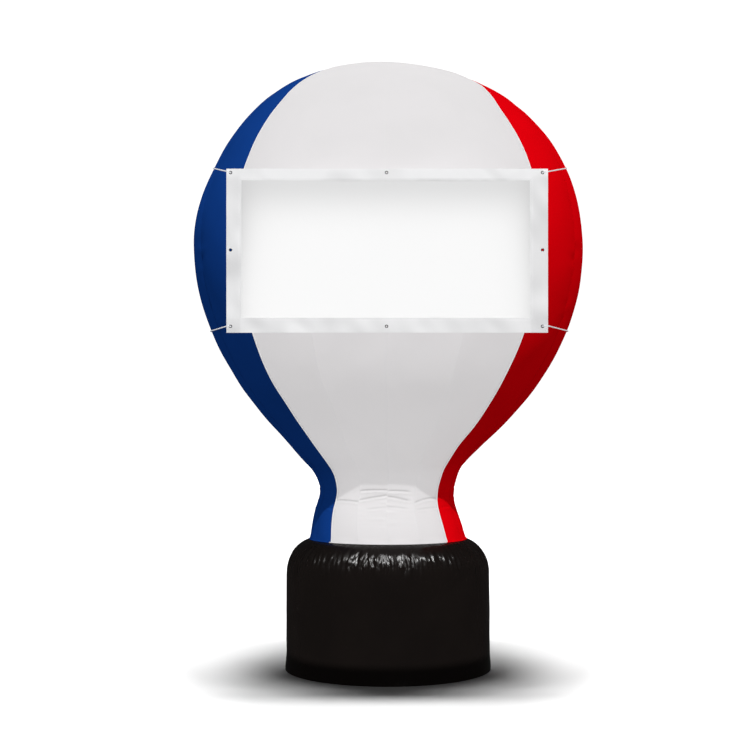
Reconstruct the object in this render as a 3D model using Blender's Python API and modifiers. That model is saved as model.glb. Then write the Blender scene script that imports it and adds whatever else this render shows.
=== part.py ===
"""Balloon-shaped advertising inflatable on a round drum, with a tied banner.

Metres, +Z up. The origin is the centre of the drum's floor. The banner faces -Y,
and the blower is at the back of the drum, towards +Y.
"""

from math import acos, asin, atan2, cos, degrees, hypot, pi, radians, sin, sqrt

import bmesh
import bpy
from mathutils import Matrix, Vector

# Running values
GAP = 0.0003
SKIN = 0.010
COLUMNS_PER_GORE = 3
FACET = radians(7.5)
MERGE = 0.00005
SHARP_ANGLE = radians(40.0)

# Envelope outline: arcs and straight runs from the pole to the neck seam
CROWN_TOP_Z = 4.370
CROWN_RADIUS = 0.640
CROWN_TURN = radians(14.6)
CROWN_SLOPE_LENGTH = 0.280
UPPER_BULB_RADIUS = 1.293
LOWER_BULB_RADIUS = 1.643
LOWER_BULB_TURN = radians(41.8)
CONE_LENGTH = 0.623
WAIST_RADIUS = 0.300
FLARE_ANGLE = radians(15.7)
NECK_SEAM_Z = 0.940
SEAM_TAIL = 0.012

# Gores: name, colour, first edge in degrees from +X, count, degrees each
GORE_BLOCKS = (
    ("front", "white", -136.0, 4, 23.0),
    ("right", "red", -44.0, 4, 22.0),
    ("rear", "white", 44.0, 4, 23.0),
    ("left", "blue", 136.0, 4, 22.0),
)

# Drum
DRUM_LEDGE_LENGTH = 0.014
DRUM_LEDGE_INSET = 0.012
SHOULDER_RADIUS = 0.250
SHOULDER_START = radians(20.0)
LID_SEAM_Z = 0.800
DRUM_FLARE_TOP_Z = 0.115
DRUM_FOOT_RADIUS = 0.742
DRUM_FOOT_Z = 0.030
FLOOR_THICKNESS = 0.010

# Banner and its eyelets
BANNER_WIDTH = 2.000
BANNER_HEIGHT = 1.020
BANNER_THICKNESS = 0.003
BANNER_CENTRE_Z = 2.838
BANNER_HEM = {"left": 0.093, "right": 0.112, "top": 0.071, "bottom": 0.093}
BANNER_HEM_STEP = 0.001
BANNER_HEM_EDGE = 0.002
EYELET_SIDE_INSET = 0.030
EYELET_TOP_INSET = 0.024
EYELET_BOTTOM_INSET = 0.040
EYELET_MIDDLE_DROP = 0.005
EYELET_FLANGE_RADIUS = 0.0105
EYELET_BARREL_RADIUS = 0.0068
EYELET_HOLE_RADIUS = 0.0058
EYELET_FLANGE_THICKNESS = 0.0010
EYELET_SIDES = 16
EYELET_CUT_DEPTH = 0.020

# Corner ties and their sewn loops
TIE_RADIUS = 0.0040
TIE_LOOP_AZIMUTH = radians(123.0)
TIE_LOOP_WIDTH = 0.025
TIE_LOOP_OUTER = 0.018
TIE_LOOP_WALL = 0.0025
TIE_LOOP_FOOT = 0.014
TIE_LOOP_STEPS = 8
TIE_STAND_OFF = 0.0022
TIE_RISE_TOP = 0.210
TIE_RISE_BOTTOM = 0.050
TIE_TAIL = 0.030
TIE_STEPS = 11

# Blower at the back of the drum; stations are world Y
FAN_Z = 0.360
DUCT_RADIUS = 0.190
DUCT_WALL = 0.010
DUCT_INNER_END = 0.560
SLEEVE_INNER_END = 0.620
SLEEVE_OUTER_END = 0.775
FLANGE_RADIUS = 0.215
FLANGE_THICKNESS = 0.010
MOTOR_RADIUS = 0.070
MOTOR_START = 0.560
MOTOR_END = 0.660
SHAFT_RADIUS = 0.008
SHAFT_START = 0.632
BORE_RADIUS = 0.0084
BORE_START = 0.626
HUB_RADIUS = 0.045
HUB_START = 0.672
HUB_END = 0.722
BLADE_COUNT = 5
BLADE_ROOT = 0.040
BLADE_TIP = 0.168
BLADE_CHORD = 0.070
BLADE_THICKNESS = 0.003
BLADE_PITCH = radians(30.0)
STRUT_COUNT = 3
STRUT_STATION = 0.610
STRUT_SIZE = 0.020
GUARD_RADIUS = 0.207
GUARD_THICKNESS = 0.004
GUARD_HUB = 0.035
GUARD_PITCH = 0.0385
GUARD_BAR = 0.005
GUARD_RINGS = 4
GUARD_SPOKES = 8
DUCT_SIDES = 48
MOTOR_SIDES = 24
WALL_CUT_DEPTH = 0.300
CRADLE_SIZE_X = 0.240
CRADLE_START = 0.530
CRADLE_END = 0.615
INLET_FACET_AZIMUTH = radians(63.75)
INLET_SIZE = (0.025, 0.070, 0.050)
INLET_Z = 0.250

# Material: base colour, roughness, metallic
FINISHES = {
    "white": ((0.80, 0.79, 0.80), 0.55, 0.0),
    "red": ((0.62, 0.005, 0.010), 0.50, 0.0),
    "blue": ((0.010, 0.050, 0.220), 0.50, 0.0),
    "black": ((0.012, 0.010, 0.010), 0.35, 0.0),
    "banner": ((0.86, 0.86, 0.86), 0.45, 0.0),
    "eyelet": ((0.55, 0.55, 0.56), 0.30, 1.0),
    "cord": ((0.80, 0.82, 0.86), 0.70, 0.0),
    "webbing": ((0.75, 0.75, 0.76), 0.80, 0.0),
    "fan_plastic": ((0.030, 0.030, 0.032), 0.45, 0.0),
    "fan_rotor": ((0.060, 0.060, 0.065), 0.40, 0.0),
    "fan_steel": ((0.35, 0.35, 0.36), 0.40, 1.0),
}

parts = None
cutters = None


def start_scene():
    """Empty the file and make the two collections."""
    global parts, cutters
    for item in list(bpy.data.objects):
        bpy.data.objects.remove(item, do_unlink=True)
    parts = bpy.data.collections.new("balloon_inflatable")
    cutters = bpy.data.collections.new("cutters")
    for collection in (parts, cutters):
        bpy.context.scene.collection.children.link(collection)


def finish(obj, finish_name):
    """Give an object its own material in a named finish."""
    colour, roughness, metallic = FINISHES[finish_name]
    material = bpy.data.materials.new(obj.name + "_" + finish_name)
    material.use_nodes = True
    shader = material.node_tree.nodes["Principled BSDF"]
    shader.inputs["Base Color"].default_value = (*colour, 1.0)
    shader.inputs["Roughness"].default_value = roughness
    shader.inputs["Metallic"].default_value = metallic
    obj.data.materials.clear()
    obj.data.materials.append(material)


def place(obj, finish_name=None):
    """Move an object into the parts' collection, or the cutters' if it has no finish."""
    for collection in list(obj.users_collection):
        collection.objects.unlink(obj)
    if finish_name is None:
        cutters.objects.link(obj)
        obj.hide_render = True
        obj.display_type = "WIRE"
    else:
        parts.objects.link(obj)
        finish(obj, finish_name)
    return obj


def outline_object(name, points, closed=False):
    """A wire outline in the XZ plane, each point (radius, height)."""
    mesh = bpy.data.meshes.new(name)
    edges = [(i, i + 1) for i in range(len(points) - 1)]
    if closed:
        edges.append((len(points) - 1, 0))
    mesh.from_pydata([(r, 0.0, z) for r, z in points], edges, [])
    obj = bpy.data.objects.new(name, mesh)
    bpy.context.scene.collection.objects.link(obj)
    return obj


def turn(obj, angle, steps):
    """Screw an outline about its local Z."""
    screw = obj.modifiers.new("turn", "SCREW")
    screw.axis = "Z"
    screw.angle = angle
    screw.steps = steps
    screw.render_steps = steps
    screw.use_merge_vertices = abs(angle - 2 * pi) < 1e-6
    screw.merge_threshold = MERGE
    screw.use_smooth_shade = True


def thicken(obj):
    """Give an open skin its wall, inwards."""
    wall = obj.modifiers.new("wall", "SOLIDIFY")
    wall.thickness = SKIN
    wall.offset = -1.0
    wall.use_even_offset = True


def inner_points(outline):
    """The outline's inner side, a wall's thickness in along each corner's mitre.

    Its two end edges are square to the outline's own headings there.
    """
    points = outline.points
    runs = [(b[0] - a[0], b[1] - a[1]) for a, b in zip(points, points[1:])]
    normals = [(-dz / hypot(dr, dz), dr / hypot(dr, dz)) for dr, dz in runs]
    ends = [(sin(angle), cos(angle)) for angle in (outline.first_heading, outline.heading)]
    befores = [ends[0], *normals]
    afters = [*normals, ends[1]]
    befores[0] = afters[0] = ends[0]
    befores[-1] = afters[-1] = ends[1]
    inner = []
    for (r, z), before, after in zip(points, befores, afters):
        sum_r = before[0] + after[0]
        sum_z = before[1] + after[1]
        mitre = 2 * SKIN / (sum_r * sum_r + sum_z * sum_z)
        inner.append((r - sum_r * mitre, z - sum_z * mitre))
    return inner


def sector(name, outline, angle, steps):
    """A sector of a turned wall, flat at both of its edges."""
    bm = bmesh.new()
    section = outline.points + inner_points(outline)[::-1]
    face = bm.faces.new([bm.verts.new((r, 0.0, z)) for r, z in section])
    bmesh.ops.spin(
        bm, geom=[face, *face.edges, *face.verts], angle=angle, steps=steps,
        axis=(0.0, 0.0, 1.0), cent=(0.0, 0.0, 0.0))
    bmesh.ops.recalc_face_normals(bm, faces=bm.faces)
    if bm.calc_volume(signed=True) < 0.0:
        bmesh.ops.reverse_faces(bm, faces=bm.faces)
    mesh = bpy.data.meshes.new(name)
    bm.to_mesh(mesh)
    bm.free()
    mesh.shade_smooth()
    mesh.set_sharp_from_angle(angle=SHARP_ANGLE)
    obj = bpy.data.objects.new(name, mesh)
    bpy.context.scene.collection.objects.link(obj)
    return obj


def cut(obj, cutter, operation="DIFFERENCE"):
    """Cut an object by another, or join them."""
    boolean = obj.modifiers.new("cut", "BOOLEAN")
    boolean.operation = operation
    boolean.solver = "EXACT"
    boolean.object = cutter


class Outline:
    """An outline drawn down from a start point by arcs and straight runs.

    The heading is the angle below level, so 0 runs outwards and 90 degrees runs down.
    """

    def __init__(self, radius, height, heading=0.0):
        self.points = [(radius, height)]
        self.first_heading = heading
        self.heading = heading

    def arc(self, radius, turn_by, steps):
        """Turn by an angle on a radius; a negative radius and turn curve the other way."""
        r, z = self.points[-1]
        for step in range(1, steps + 1):
            angle = self.heading + turn_by * step / steps
            self.points.append((
                r + radius * (sin(angle) - sin(self.heading)),
                z - radius * (cos(self.heading) - cos(angle)),
            ))
        self.heading += turn_by
        return self

    def run(self, length):
        """Go straight on."""
        r, z = self.points[-1]
        self.points.append((r + length * cos(self.heading), z - length * sin(self.heading)))
        return self

    def to(self, radius, height):
        """Go to a given point and keep the direction of that run."""
        r, z = self.points[-1]
        self.heading = atan2(z - height, radius - r)
        self.points.append((radius, height))
        return self


def crown_outline():
    """The disc over the tips of the gores."""
    return Outline(0.0, CROWN_TOP_Z).arc(CROWN_RADIUS, CROWN_TURN, 2)


def envelope_outline():
    """A gore's outline from the crown disc's edge to the neck seam."""
    edge = crown_outline()
    outline = Outline(*edge.points[-1], heading=edge.heading)
    outline.run(CROWN_SLOPE_LENGTH)
    outline.arc(UPPER_BULB_RADIUS, pi / 2 - CROWN_TURN, 9)
    outline.arc(LOWER_BULB_RADIUS, LOWER_BULB_TURN, 5)
    outline.run(CONE_LENGTH)
    outline.arc(-WAIST_RADIUS, -(LOWER_BULB_TURN + FLARE_ANGLE), 5)
    flare_length = (outline.points[-1][1] - NECK_SEAM_Z - SEAM_TAIL) / cos(FLARE_ANGLE)
    outline.run(flare_length)
    return outline.to(outline.points[-1][0], NECK_SEAM_Z)


ENVELOPE = envelope_outline().points
NECK_SEAM_RADIUS = ENVELOPE[-1][0]
WIDEST_RADIUS = max(r for r, z in ENVELOPE)


def seam_shift(span):
    """How far a gore stands off the axis, so that each of its seams keeps the gap."""
    return GAP / 2 / sin(span / 2)


def gore_seam_shift():
    """The stand-off of the widest gores, which is the skin's highest point at a seam."""
    return max(seam_shift(radians(block[4])) for block in GORE_BLOCKS)


def side_column_angle():
    """Angle of one flat column of a side gore."""
    return radians(GORE_BLOCKS[1][4]) / COLUMNS_PER_GORE


def make_crown():
    """Crown disc, one domed panel."""
    edge = crown_outline()
    edge.points[-1] = (edge.points[-1][0] - GAP, edge.points[-1][1] + GAP * sin(CROWN_TURN))
    crown = outline_object("crown_disc", edge.points)
    turn(crown, 2 * pi, DUCT_SIDES)
    thicken(crown)
    place(crown, "white")


def make_gores():
    """Sixteen gores in four blocks of colour."""
    for block, colour, first_edge, count, span_degrees in GORE_BLOCKS:
        span = radians(span_degrees)
        for index in range(count):
            edge = radians(first_edge) + span * index
            middle = edge + span / 2
            gore = sector(f"gore_{block}_{index + 1}", envelope_outline(), span, COLUMNS_PER_GORE)
            gore.rotation_euler.z = edge
            shift = seam_shift(span)
            gore.location = (shift * cos(middle), shift * sin(middle), 0.0)
            place(gore, colour)


def lid_outline():
    """The drum's lid, from a ledge under the neck seam to the shoulder seam."""
    start = NECK_SEAM_RADIUS - DRUM_LEDGE_INSET
    outline = Outline(start, NECK_SEAM_Z - GAP).run(DRUM_LEDGE_LENGTH)
    outline.heading = SHOULDER_START
    fall = outline.points[-1][1] - LID_SEAM_Z
    end = acos(cos(SHOULDER_START) - fall / SHOULDER_RADIUS)
    return outline.arc(SHOULDER_RADIUS, end - SHOULDER_START, 4)


def side_outline():
    """The drum's side, from the shoulder seam to the floor."""
    lid = lid_outline()
    outline = Outline(*lid.points[-1], heading=lid.heading).run(GAP)
    outline.points = outline.points[1:]
    outline.arc(SHOULDER_RADIUS, pi / 2 - outline.heading, 3)
    outline.to(outline.points[-1][0], DRUM_FLARE_TOP_Z)
    outline.to(DRUM_FOOT_RADIUS, DRUM_FOOT_Z)
    return outline.to(DRUM_FOOT_RADIUS, FLOOR_THICKNESS + GAP)


DRUM_RADIUS = side_outline().points[3][0]


def make_drum():
    """Lid and side in two halves each, and the floor."""
    for name, outline in (("lid", lid_outline()), ("side", side_outline())):
        for half, edge, shift in (("front", -pi, -GAP / 2), ("rear", 0.0, GAP / 2)):
            panel = sector(f"drum_{name}_{half}", outline, pi, round(pi / FACET))
            panel.rotation_euler.z = edge
            panel.location.y = shift
            place(panel, "black")
    cut(bpy.data.objects["drum_side_rear"], make_wall_cutter())
    bpy.ops.mesh.primitive_cylinder_add(
        vertices=DUCT_SIDES, radius=DRUM_FOOT_RADIUS, depth=FLOOR_THICKNESS,
        location=(0.0, 0.0, FLOOR_THICKNESS / 2))
    floor = bpy.context.active_object
    floor.name = "drum_floor"
    place(floor, "black")


def make_wall_cutter():
    """The round opening for the blower's sleeve in the back wall."""
    bpy.ops.mesh.primitive_cylinder_add(
        vertices=DUCT_SIDES, radius=sleeve_radius() + GAP, depth=WALL_CUT_DEPTH,
        location=(0.0, DRUM_RADIUS, FAN_Z), rotation=(pi / 2, 0.0, 0.0))
    cutter = bpy.context.active_object
    cutter.name = "cut_blower_opening"
    return place(cutter)


def sleeve_radius():
    """Outside of the sleeve that holds the duct."""
    return DUCT_RADIUS + GAP + SKIN


def banner_back_y():
    """The banner hangs against the widest part of the front."""
    return -(WIDEST_RADIUS + gore_seam_shift() + GAP)


def eyelet_places():
    """Name, x and z of each eyelet."""
    side = BANNER_WIDTH / 2 - EYELET_SIDE_INSET
    top = BANNER_CENTRE_Z + BANNER_HEIGHT / 2 - EYELET_TOP_INSET
    bottom = BANNER_CENTRE_Z - BANNER_HEIGHT / 2 + EYELET_BOTTOM_INSET
    middle = BANNER_CENTRE_Z + EYELET_MIDDLE_DROP
    return (
        ("top_left", -side, top),
        ("top_middle", 0.0, top),
        ("top_right", side, top),
        ("middle_left", -side, middle),
        ("middle_right", side, middle),
        ("bottom_left", -side, bottom),
        ("bottom_middle", 0.0, bottom),
        ("bottom_right", side, bottom),
    )


def hem_lines():
    """Point and normal of the plane of each hem line, from the banner's centre."""
    side = BANNER_WIDTH / 2
    rim = BANNER_HEIGHT / 2
    return (
        ((BANNER_HEM["left"] - side, 0.0, 0.0), (1.0, 0.0, 0.0)),
        ((side - BANNER_HEM["right"], 0.0, 0.0), (1.0, 0.0, 0.0)),
        ((0.0, 0.0, BANNER_HEM["bottom"] - rim), (0.0, 0.0, 1.0)),
        ((0.0, 0.0, rim - BANNER_HEM["top"]), (0.0, 0.0, 1.0)),
    )


def sink_field(banner):
    """Divide the sheet along its hem lines and sink its front by the hem's extra layer."""
    bm = bmesh.new()
    bm.from_mesh(banner.data)
    for point, normal in hem_lines():
        bmesh.ops.bisect_plane(
            bm, geom=[*bm.verts, *bm.edges, *bm.faces], plane_co=point, plane_no=normal)
    fronts = [face for face in bm.faces if face.normal.y < -0.9]
    field = min(fronts, key=lambda face: face.calc_center_median().length)
    bmesh.ops.inset_region(bm, faces=[field], thickness=BANNER_HEM_EDGE, depth=-BANNER_HEM_STEP)
    bm.to_mesh(banner.data)
    bm.free()


def make_banner():
    """Banner sheet with a hem and eight holes, and an eyelet in each."""
    back = banner_back_y()
    centre_y = back - BANNER_THICKNESS / 2
    bpy.ops.mesh.primitive_cube_add(size=1.0, location=(0.0, centre_y, BANNER_CENTRE_Z))
    banner = bpy.context.active_object
    banner.name = "banner"
    banner.scale = (BANNER_WIDTH, BANNER_THICKNESS, BANNER_HEIGHT)
    bpy.ops.object.transform_apply(location=False, rotation=False, scale=True)
    sink_field(banner)
    place(banner, "banner")
    for label, x, z in eyelet_places():
        bpy.ops.mesh.primitive_cylinder_add(
            vertices=EYELET_SIDES, radius=EYELET_BARREL_RADIUS + GAP, depth=EYELET_CUT_DEPTH,
            location=(x, centre_y, z), rotation=(pi / 2, 0.0, 0.0))
        cutter = bpy.context.active_object
        cutter.name = "cut_eyelet_" + label
        cut(banner, place(cutter))
        make_eyelet(label, x, centre_y, z)


def make_eyelet(label, x, y, z):
    """Eyelet: a barrel through the banner with a flange on its front."""
    half = BANNER_THICKNESS / 2
    face = half + GAP
    section = (
        (EYELET_HOLE_RADIUS, face + EYELET_FLANGE_THICKNESS),
        (EYELET_FLANGE_RADIUS, face + EYELET_FLANGE_THICKNESS),
        (EYELET_FLANGE_RADIUS, face),
        (EYELET_BARREL_RADIUS, face),
        (EYELET_BARREL_RADIUS, -half),
        (EYELET_HOLE_RADIUS, -half),
    )
    eyelet = outline_object("eyelet_" + label, section, closed=True)
    turn(eyelet, 2 * pi, EYELET_SIDES)
    eyelet.rotation_euler.x = pi / 2
    eyelet.location = (x, y, z)
    place(eyelet, "eyelet")


def envelope_at(height):
    """Radius and outward slope of the envelope at a height above the waist."""
    for (r0, z0), (r1, z1) in zip(ENVELOPE, ENVELOPE[1:]):
        if z1 <= height <= z0:
            share = (z0 - height) / (z0 - z1)
            length = hypot(r1 - r0, z1 - z0)
            normal = ((z0 - z1) / length, (r1 - r0) / length)
            return r0 + share * (r1 - r0), normal
    raise ValueError("height is off the envelope")


def on_envelope(azimuth, height, stand_off):
    """A point off the skin; azimuth is measured from the front, towards +X."""
    radius, normal = envelope_at(height)
    out = radius + normal[0] * stand_off
    return Vector((out * sin(azimuth), -out * cos(azimuth), height + normal[1] * stand_off))


def tie_route(x, z, rise):
    """A corner tie's points: through the eyelet, over the edge, then round the bulb.

    It runs straight to where it meets the skin, and follows the skin to its loop, where it
    is level.
    """
    stand_off = TIE_RADIUS + TIE_STAND_OFF
    front = banner_back_y() - BANNER_THICKNESS
    lip = EYELET_HOLE_RADIUS - TIE_RADIUS - GAP
    edge = BANNER_WIDTH / 2
    reach = hypot(x, front)
    height = z
    for _ in range(8):
        radius = envelope_at(height)[0] + stand_off
        straight = sqrt(reach * reach - radius * radius)
        height = z + rise * straight
    meet = atan2(x, -front) + acos(radius / reach)
    clear = EYELET_FLANGE_THICKNESS + GAP + TIE_RADIUS + GAP
    skirt = TIE_RADIUS + 2 * GAP
    points = [
        Vector((x + lip, front + BANNER_THICKNESS, z)),
        Vector((x + lip, front - TIE_RADIUS, z)),
        Vector((x + EYELET_FLANGE_RADIUS, front - clear - GAP, z + rise * 0.01)),
        Vector((edge - TIE_RADIUS, front - skirt - 2 * GAP, z + rise * 0.02)),
        Vector((edge + 0.9 * skirt, front - 0.9 * skirt, z + rise * 0.03)),
        Vector((edge + 1.3 * skirt, front + skirt, z + rise * 0.04)),
    ]
    contact = on_envelope(meet, height, stand_off)
    for share in (0.04, 0.5, 0.94):
        points.append(points[5].lerp(contact, share))
    for step in range(TIE_STEPS + 1):
        share = step / TIE_STEPS
        azimuth = meet + (TIE_LOOP_AZIMUTH + TIE_TAIL - meet) * share
        travel = (azimuth - meet) * radius * (1 - share * share / 3)
        points.append(on_envelope(azimuth, height + rise * travel, stand_off))
    return points


def tie_loop_height(x, z, rise):
    """Height at which a tie passes its loop, and the tie's stand-off there."""
    route = tie_route(x, z, rise)
    before, after = route[-2], route[-1]
    for point, nxt in zip(route, route[1:]):
        a0 = atan2(point.x, -point.y)
        a1 = atan2(nxt.x, -nxt.y)
        if a0 <= TIE_LOOP_AZIMUTH <= a1:
            before, after = point, nxt
            share = (TIE_LOOP_AZIMUTH - a0) / (a1 - a0)
            return before.lerp(after, share)
    return after


def make_tie(label, x, z, rise, side):
    """A corner tie as a tube, mirrored to its side."""
    curve = bpy.data.curves.new("tie_" + label, "CURVE")
    curve.dimensions = "3D"
    spline = curve.splines.new("POLY")
    route = tie_route(x, z, rise)
    spline.points.add(len(route) - 1)
    for point, place_ in zip(spline.points, route):
        point.co = (place_.x * side, place_.y, place_.z, 1.0)
    curve.bevel_depth = TIE_RADIUS
    curve.bevel_resolution = 2
    curve.use_fill_caps = True
    tie = bpy.data.objects.new("tie_" + label, curve)
    bpy.context.scene.collection.objects.link(tie)
    place(tie, "cord")


def tie_loop_section():
    """An arch between two feet, as points (along the feet, off the skin)."""
    inner = TIE_LOOP_OUTER - TIE_LOOP_WALL
    reach = TIE_LOOP_OUTER + TIE_LOOP_FOOT
    steps = TIE_LOOP_STEPS
    section = [(-reach, 0.0)]
    section += [(-inner * cos(pi * k / steps), inner * sin(pi * k / steps)) for k in range(steps + 1)]
    section += [(reach, 0.0), (reach, TIE_LOOP_WALL)]
    start = asin(TIE_LOOP_WALL / TIE_LOOP_OUTER)
    for step in range(steps + 1):
        angle = start + (pi - 2 * start) * step / steps
        section.append((TIE_LOOP_OUTER * cos(angle), TIE_LOOP_OUTER * sin(angle)))
    section.append((-reach, TIE_LOOP_WALL))
    return section


def make_tie_loop(label, x, z, rise, side):
    """A sewn webbing loop: an arch that stands on the skin, across its tie."""
    passing = tie_loop_height(x, z, rise)
    azimuth = TIE_LOOP_AZIMUTH
    normal = envelope_at(passing.z)[1]
    out = Vector((side * normal[0] * sin(azimuth), -normal[0] * cos(azimuth), normal[1]))
    along = Vector((side * cos(azimuth), sin(azimuth), 0.0))
    flat = envelope_at(passing.z)[0] * (1 - cos(side_column_angle() / 2))
    base = on_envelope(azimuth, passing.z, gore_seam_shift() + GAP - flat * normal[0])
    base.x *= side
    curve = bpy.data.curves.new("tie_loop_" + label, "CURVE")
    curve.dimensions = "2D"
    curve.fill_mode = "BOTH"
    curve.extrude = TIE_LOOP_WIDTH / 2
    add_loop(curve, tie_loop_section())
    loop = bpy.data.objects.new("tie_loop_" + label, curve)
    bpy.context.scene.collection.objects.link(loop)
    turned = Matrix((out.cross(along), out, along)).transposed().to_4x4()
    loop.matrix_world = Matrix.Translation(base) @ turned
    place(loop, "webbing")


def make_ties():
    """Four corner ties and their loops."""
    for label, x, z in eyelet_places():
        row, column = label.split("_")
        if row == "middle" or column == "middle":
            continue
        side = 1.0 if column == "right" else -1.0
        rise = TIE_RISE_TOP if row == "top" else TIE_RISE_BOTTOM
        make_tie(label, abs(x), z, rise, side)
        make_tie_loop(label, abs(x), z, rise, side)


def turned_along_y(name, section, finish_name, sides=DUCT_SIDES, closed=True):
    """A turned piece on the blower's axis; a section's heights are world Y."""
    obj = outline_object(name, section, closed)
    turn(obj, 2 * pi, sides)
    obj.rotation_euler.x = -pi / 2
    obj.location = (0.0, 0.0, FAN_Z)
    return place(obj, finish_name)


def make_sleeve():
    """Fabric sleeve in the back wall, around the duct."""
    outer = sleeve_radius()
    inner = DUCT_RADIUS + GAP
    turned_along_y("blower_sleeve", (
        (outer, SLEEVE_OUTER_END), (outer, SLEEVE_INNER_END),
        (inner, SLEEVE_INNER_END), (inner, SLEEVE_OUTER_END)), "black")


def make_duct():
    """Duct with its flange, and the struts that carry the motor."""
    inner = DUCT_RADIUS - DUCT_WALL
    face = SLEEVE_OUTER_END + GAP
    duct = turned_along_y("blower_duct", (
        (inner, face + FLANGE_THICKNESS), (FLANGE_RADIUS, face + FLANGE_THICKNESS),
        (FLANGE_RADIUS, face), (DUCT_RADIUS, face),
        (DUCT_RADIUS, DUCT_INNER_END), (inner, DUCT_INNER_END)), "fan_plastic")
    start = MOTOR_RADIUS + GAP
    end = DUCT_RADIUS - DUCT_WALL / 2
    for index in range(STRUT_COUNT):
        angle = pi / 2 + 2 * pi * index / STRUT_COUNT
        middle = (start + end) / 2
        bpy.ops.mesh.primitive_cube_add(
            size=1.0, rotation=(0.0, -angle, 0.0),
            location=(middle * cos(angle), STRUT_STATION, FAN_Z + middle * sin(angle)))
        strut = bpy.context.active_object
        strut.name = f"join_strut_{index + 1}"
        strut.scale = (end - start, STRUT_SIZE, STRUT_SIZE)
        bpy.ops.object.transform_apply(location=False, rotation=False, scale=True)
        cut(duct, place(strut), "UNION")


def make_motor():
    """Motor block with a blind bore for the rotor's shaft."""
    turned_along_y("blower_motor", (
        (0.0, BORE_START), (BORE_RADIUS, BORE_START), (BORE_RADIUS, MOTOR_END),
        (MOTOR_RADIUS, MOTOR_END), (MOTOR_RADIUS, MOTOR_START), (0.0, MOTOR_START),
    ), "fan_steel", MOTOR_SIDES, closed=False)


def make_rotor():
    """Rotor: hub, shaft stub and pitched blades, turning on the blower's axis."""
    rotor = turned_along_y("blower_rotor", (
        (0.0, HUB_END), (HUB_RADIUS, HUB_END), (HUB_RADIUS, HUB_START),
        (SHAFT_RADIUS, HUB_START), (SHAFT_RADIUS, SHAFT_START), (0.0, SHAFT_START),
    ), "fan_rotor", MOTOR_SIDES, closed=False)
    station = (HUB_START + HUB_END) / 2
    for index in range(BLADE_COUNT):
        angle = 2 * pi * index / BLADE_COUNT
        middle = (BLADE_ROOT + BLADE_TIP) / 2
        bpy.ops.mesh.primitive_cube_add(size=1.0)
        blade = bpy.context.active_object
        blade.name = f"join_blade_{index + 1}"
        blade.scale = (BLADE_TIP - BLADE_ROOT, BLADE_THICKNESS, BLADE_CHORD)
        bpy.ops.object.transform_apply(location=False, rotation=False, scale=True)
        blade.rotation_euler = (BLADE_PITCH, -angle, 0.0)
        blade.location = (middle * cos(angle), station, FAN_Z + middle * sin(angle))
        cut(rotor, place(blade), "UNION")


def add_slot(curve, inner, outer, start, end, steps=4):
    """Add one opening between two rings and two spokes to a flat curve."""
    points = [(outer, start + (end - start) * k / steps) for k in range(steps + 1)]
    points += [(inner, end + (start - end) * k / steps) for k in range(steps + 1)]
    add_loop(curve, [(r * cos(a), r * sin(a)) for r, a in points])


def add_loop(curve, points):
    """Add one closed outline to a flat curve."""
    spline = curve.splines.new("POLY")
    spline.points.add(len(points) - 1)
    for point, (x, y) in zip(spline.points, points):
        point.co = (x, y, 0.0, 1.0)
    spline.use_cyclic_u = True


def make_guard():
    """Finger guard: rings and spokes in one flat grille on the flange."""
    curve = bpy.data.curves.new("blower_guard", "CURVE")
    curve.dimensions = "2D"
    curve.fill_mode = "BOTH"
    curve.extrude = GUARD_THICKNESS / 2
    rim = [2 * pi * k / DUCT_SIDES for k in range(DUCT_SIDES)]
    add_loop(curve, [(GUARD_RADIUS * cos(a), GUARD_RADIUS * sin(a)) for a in rim])
    for ring in range(GUARD_RINGS):
        inner = GUARD_HUB + GUARD_PITCH * ring
        outer = inner + GUARD_PITCH - GUARD_BAR
        for spoke in range(GUARD_SPOKES):
            half = asin(GUARD_BAR / 2 / inner)
            start = 2 * pi * spoke / GUARD_SPOKES + half
            add_slot(curve, inner, outer, start, 2 * pi * (spoke + 1) / GUARD_SPOKES - half)
    guard = bpy.data.objects.new("blower_guard", curve)
    bpy.context.scene.collection.objects.link(guard)
    guard.rotation_euler.x = -pi / 2
    face = SLEEVE_OUTER_END + GAP + FLANGE_THICKNESS
    guard.location = (0.0, face + GAP + GUARD_THICKNESS / 2, FAN_Z)
    place(guard, "fan_steel")


def make_cradle():
    """Plain block that carries the duct's inner end on the drum's floor."""
    bottom = FLOOR_THICKNESS + GAP
    top = FAN_Z - DUCT_RADIUS - GAP
    middle = Vector((0.0, (CRADLE_START + CRADLE_END) / 2, (bottom + top) / 2))
    bpy.ops.mesh.primitive_cube_add(size=1.0, location=middle)
    cradle = bpy.context.active_object
    cradle.name = "blower_cradle"
    cradle.scale = (CRADLE_SIZE_X, CRADLE_END - CRADLE_START, top - bottom)
    bpy.ops.object.transform_apply(location=False, rotation=False, scale=True)
    place(cradle, "fan_plastic")


def make_power_inlet():
    """Blank inlet box on a flat of the back wall."""
    distance = DRUM_RADIUS * cos(FACET / 2) + 2 * GAP + INLET_SIZE[0] / 2
    bpy.ops.mesh.primitive_cube_add(
        size=1.0, rotation=(0.0, 0.0, INLET_FACET_AZIMUTH),
        location=(distance * cos(INLET_FACET_AZIMUTH), distance * sin(INLET_FACET_AZIMUTH), INLET_Z))
    inlet = bpy.context.active_object
    inlet.name = "power_inlet"
    inlet.scale = INLET_SIZE
    bpy.ops.object.transform_apply(location=False, rotation=False, scale=True)
    place(inlet, "fan_plastic")


start_scene()
make_crown()
make_gores()
make_drum()
make_banner()
make_ties()
make_sleeve()
make_duct()
make_motor()
make_rotor()
make_guard()
make_cradle()
make_power_inlet()
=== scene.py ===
"""Looks of a balloon-shaped advertising inflatable that stands on its blower drum.

Metres, +Z up. The banner faces -Y and the blower is at the back of the drum, towards +Y.
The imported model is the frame, and each cloth piece here is laid over its plain solid.
"""

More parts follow.
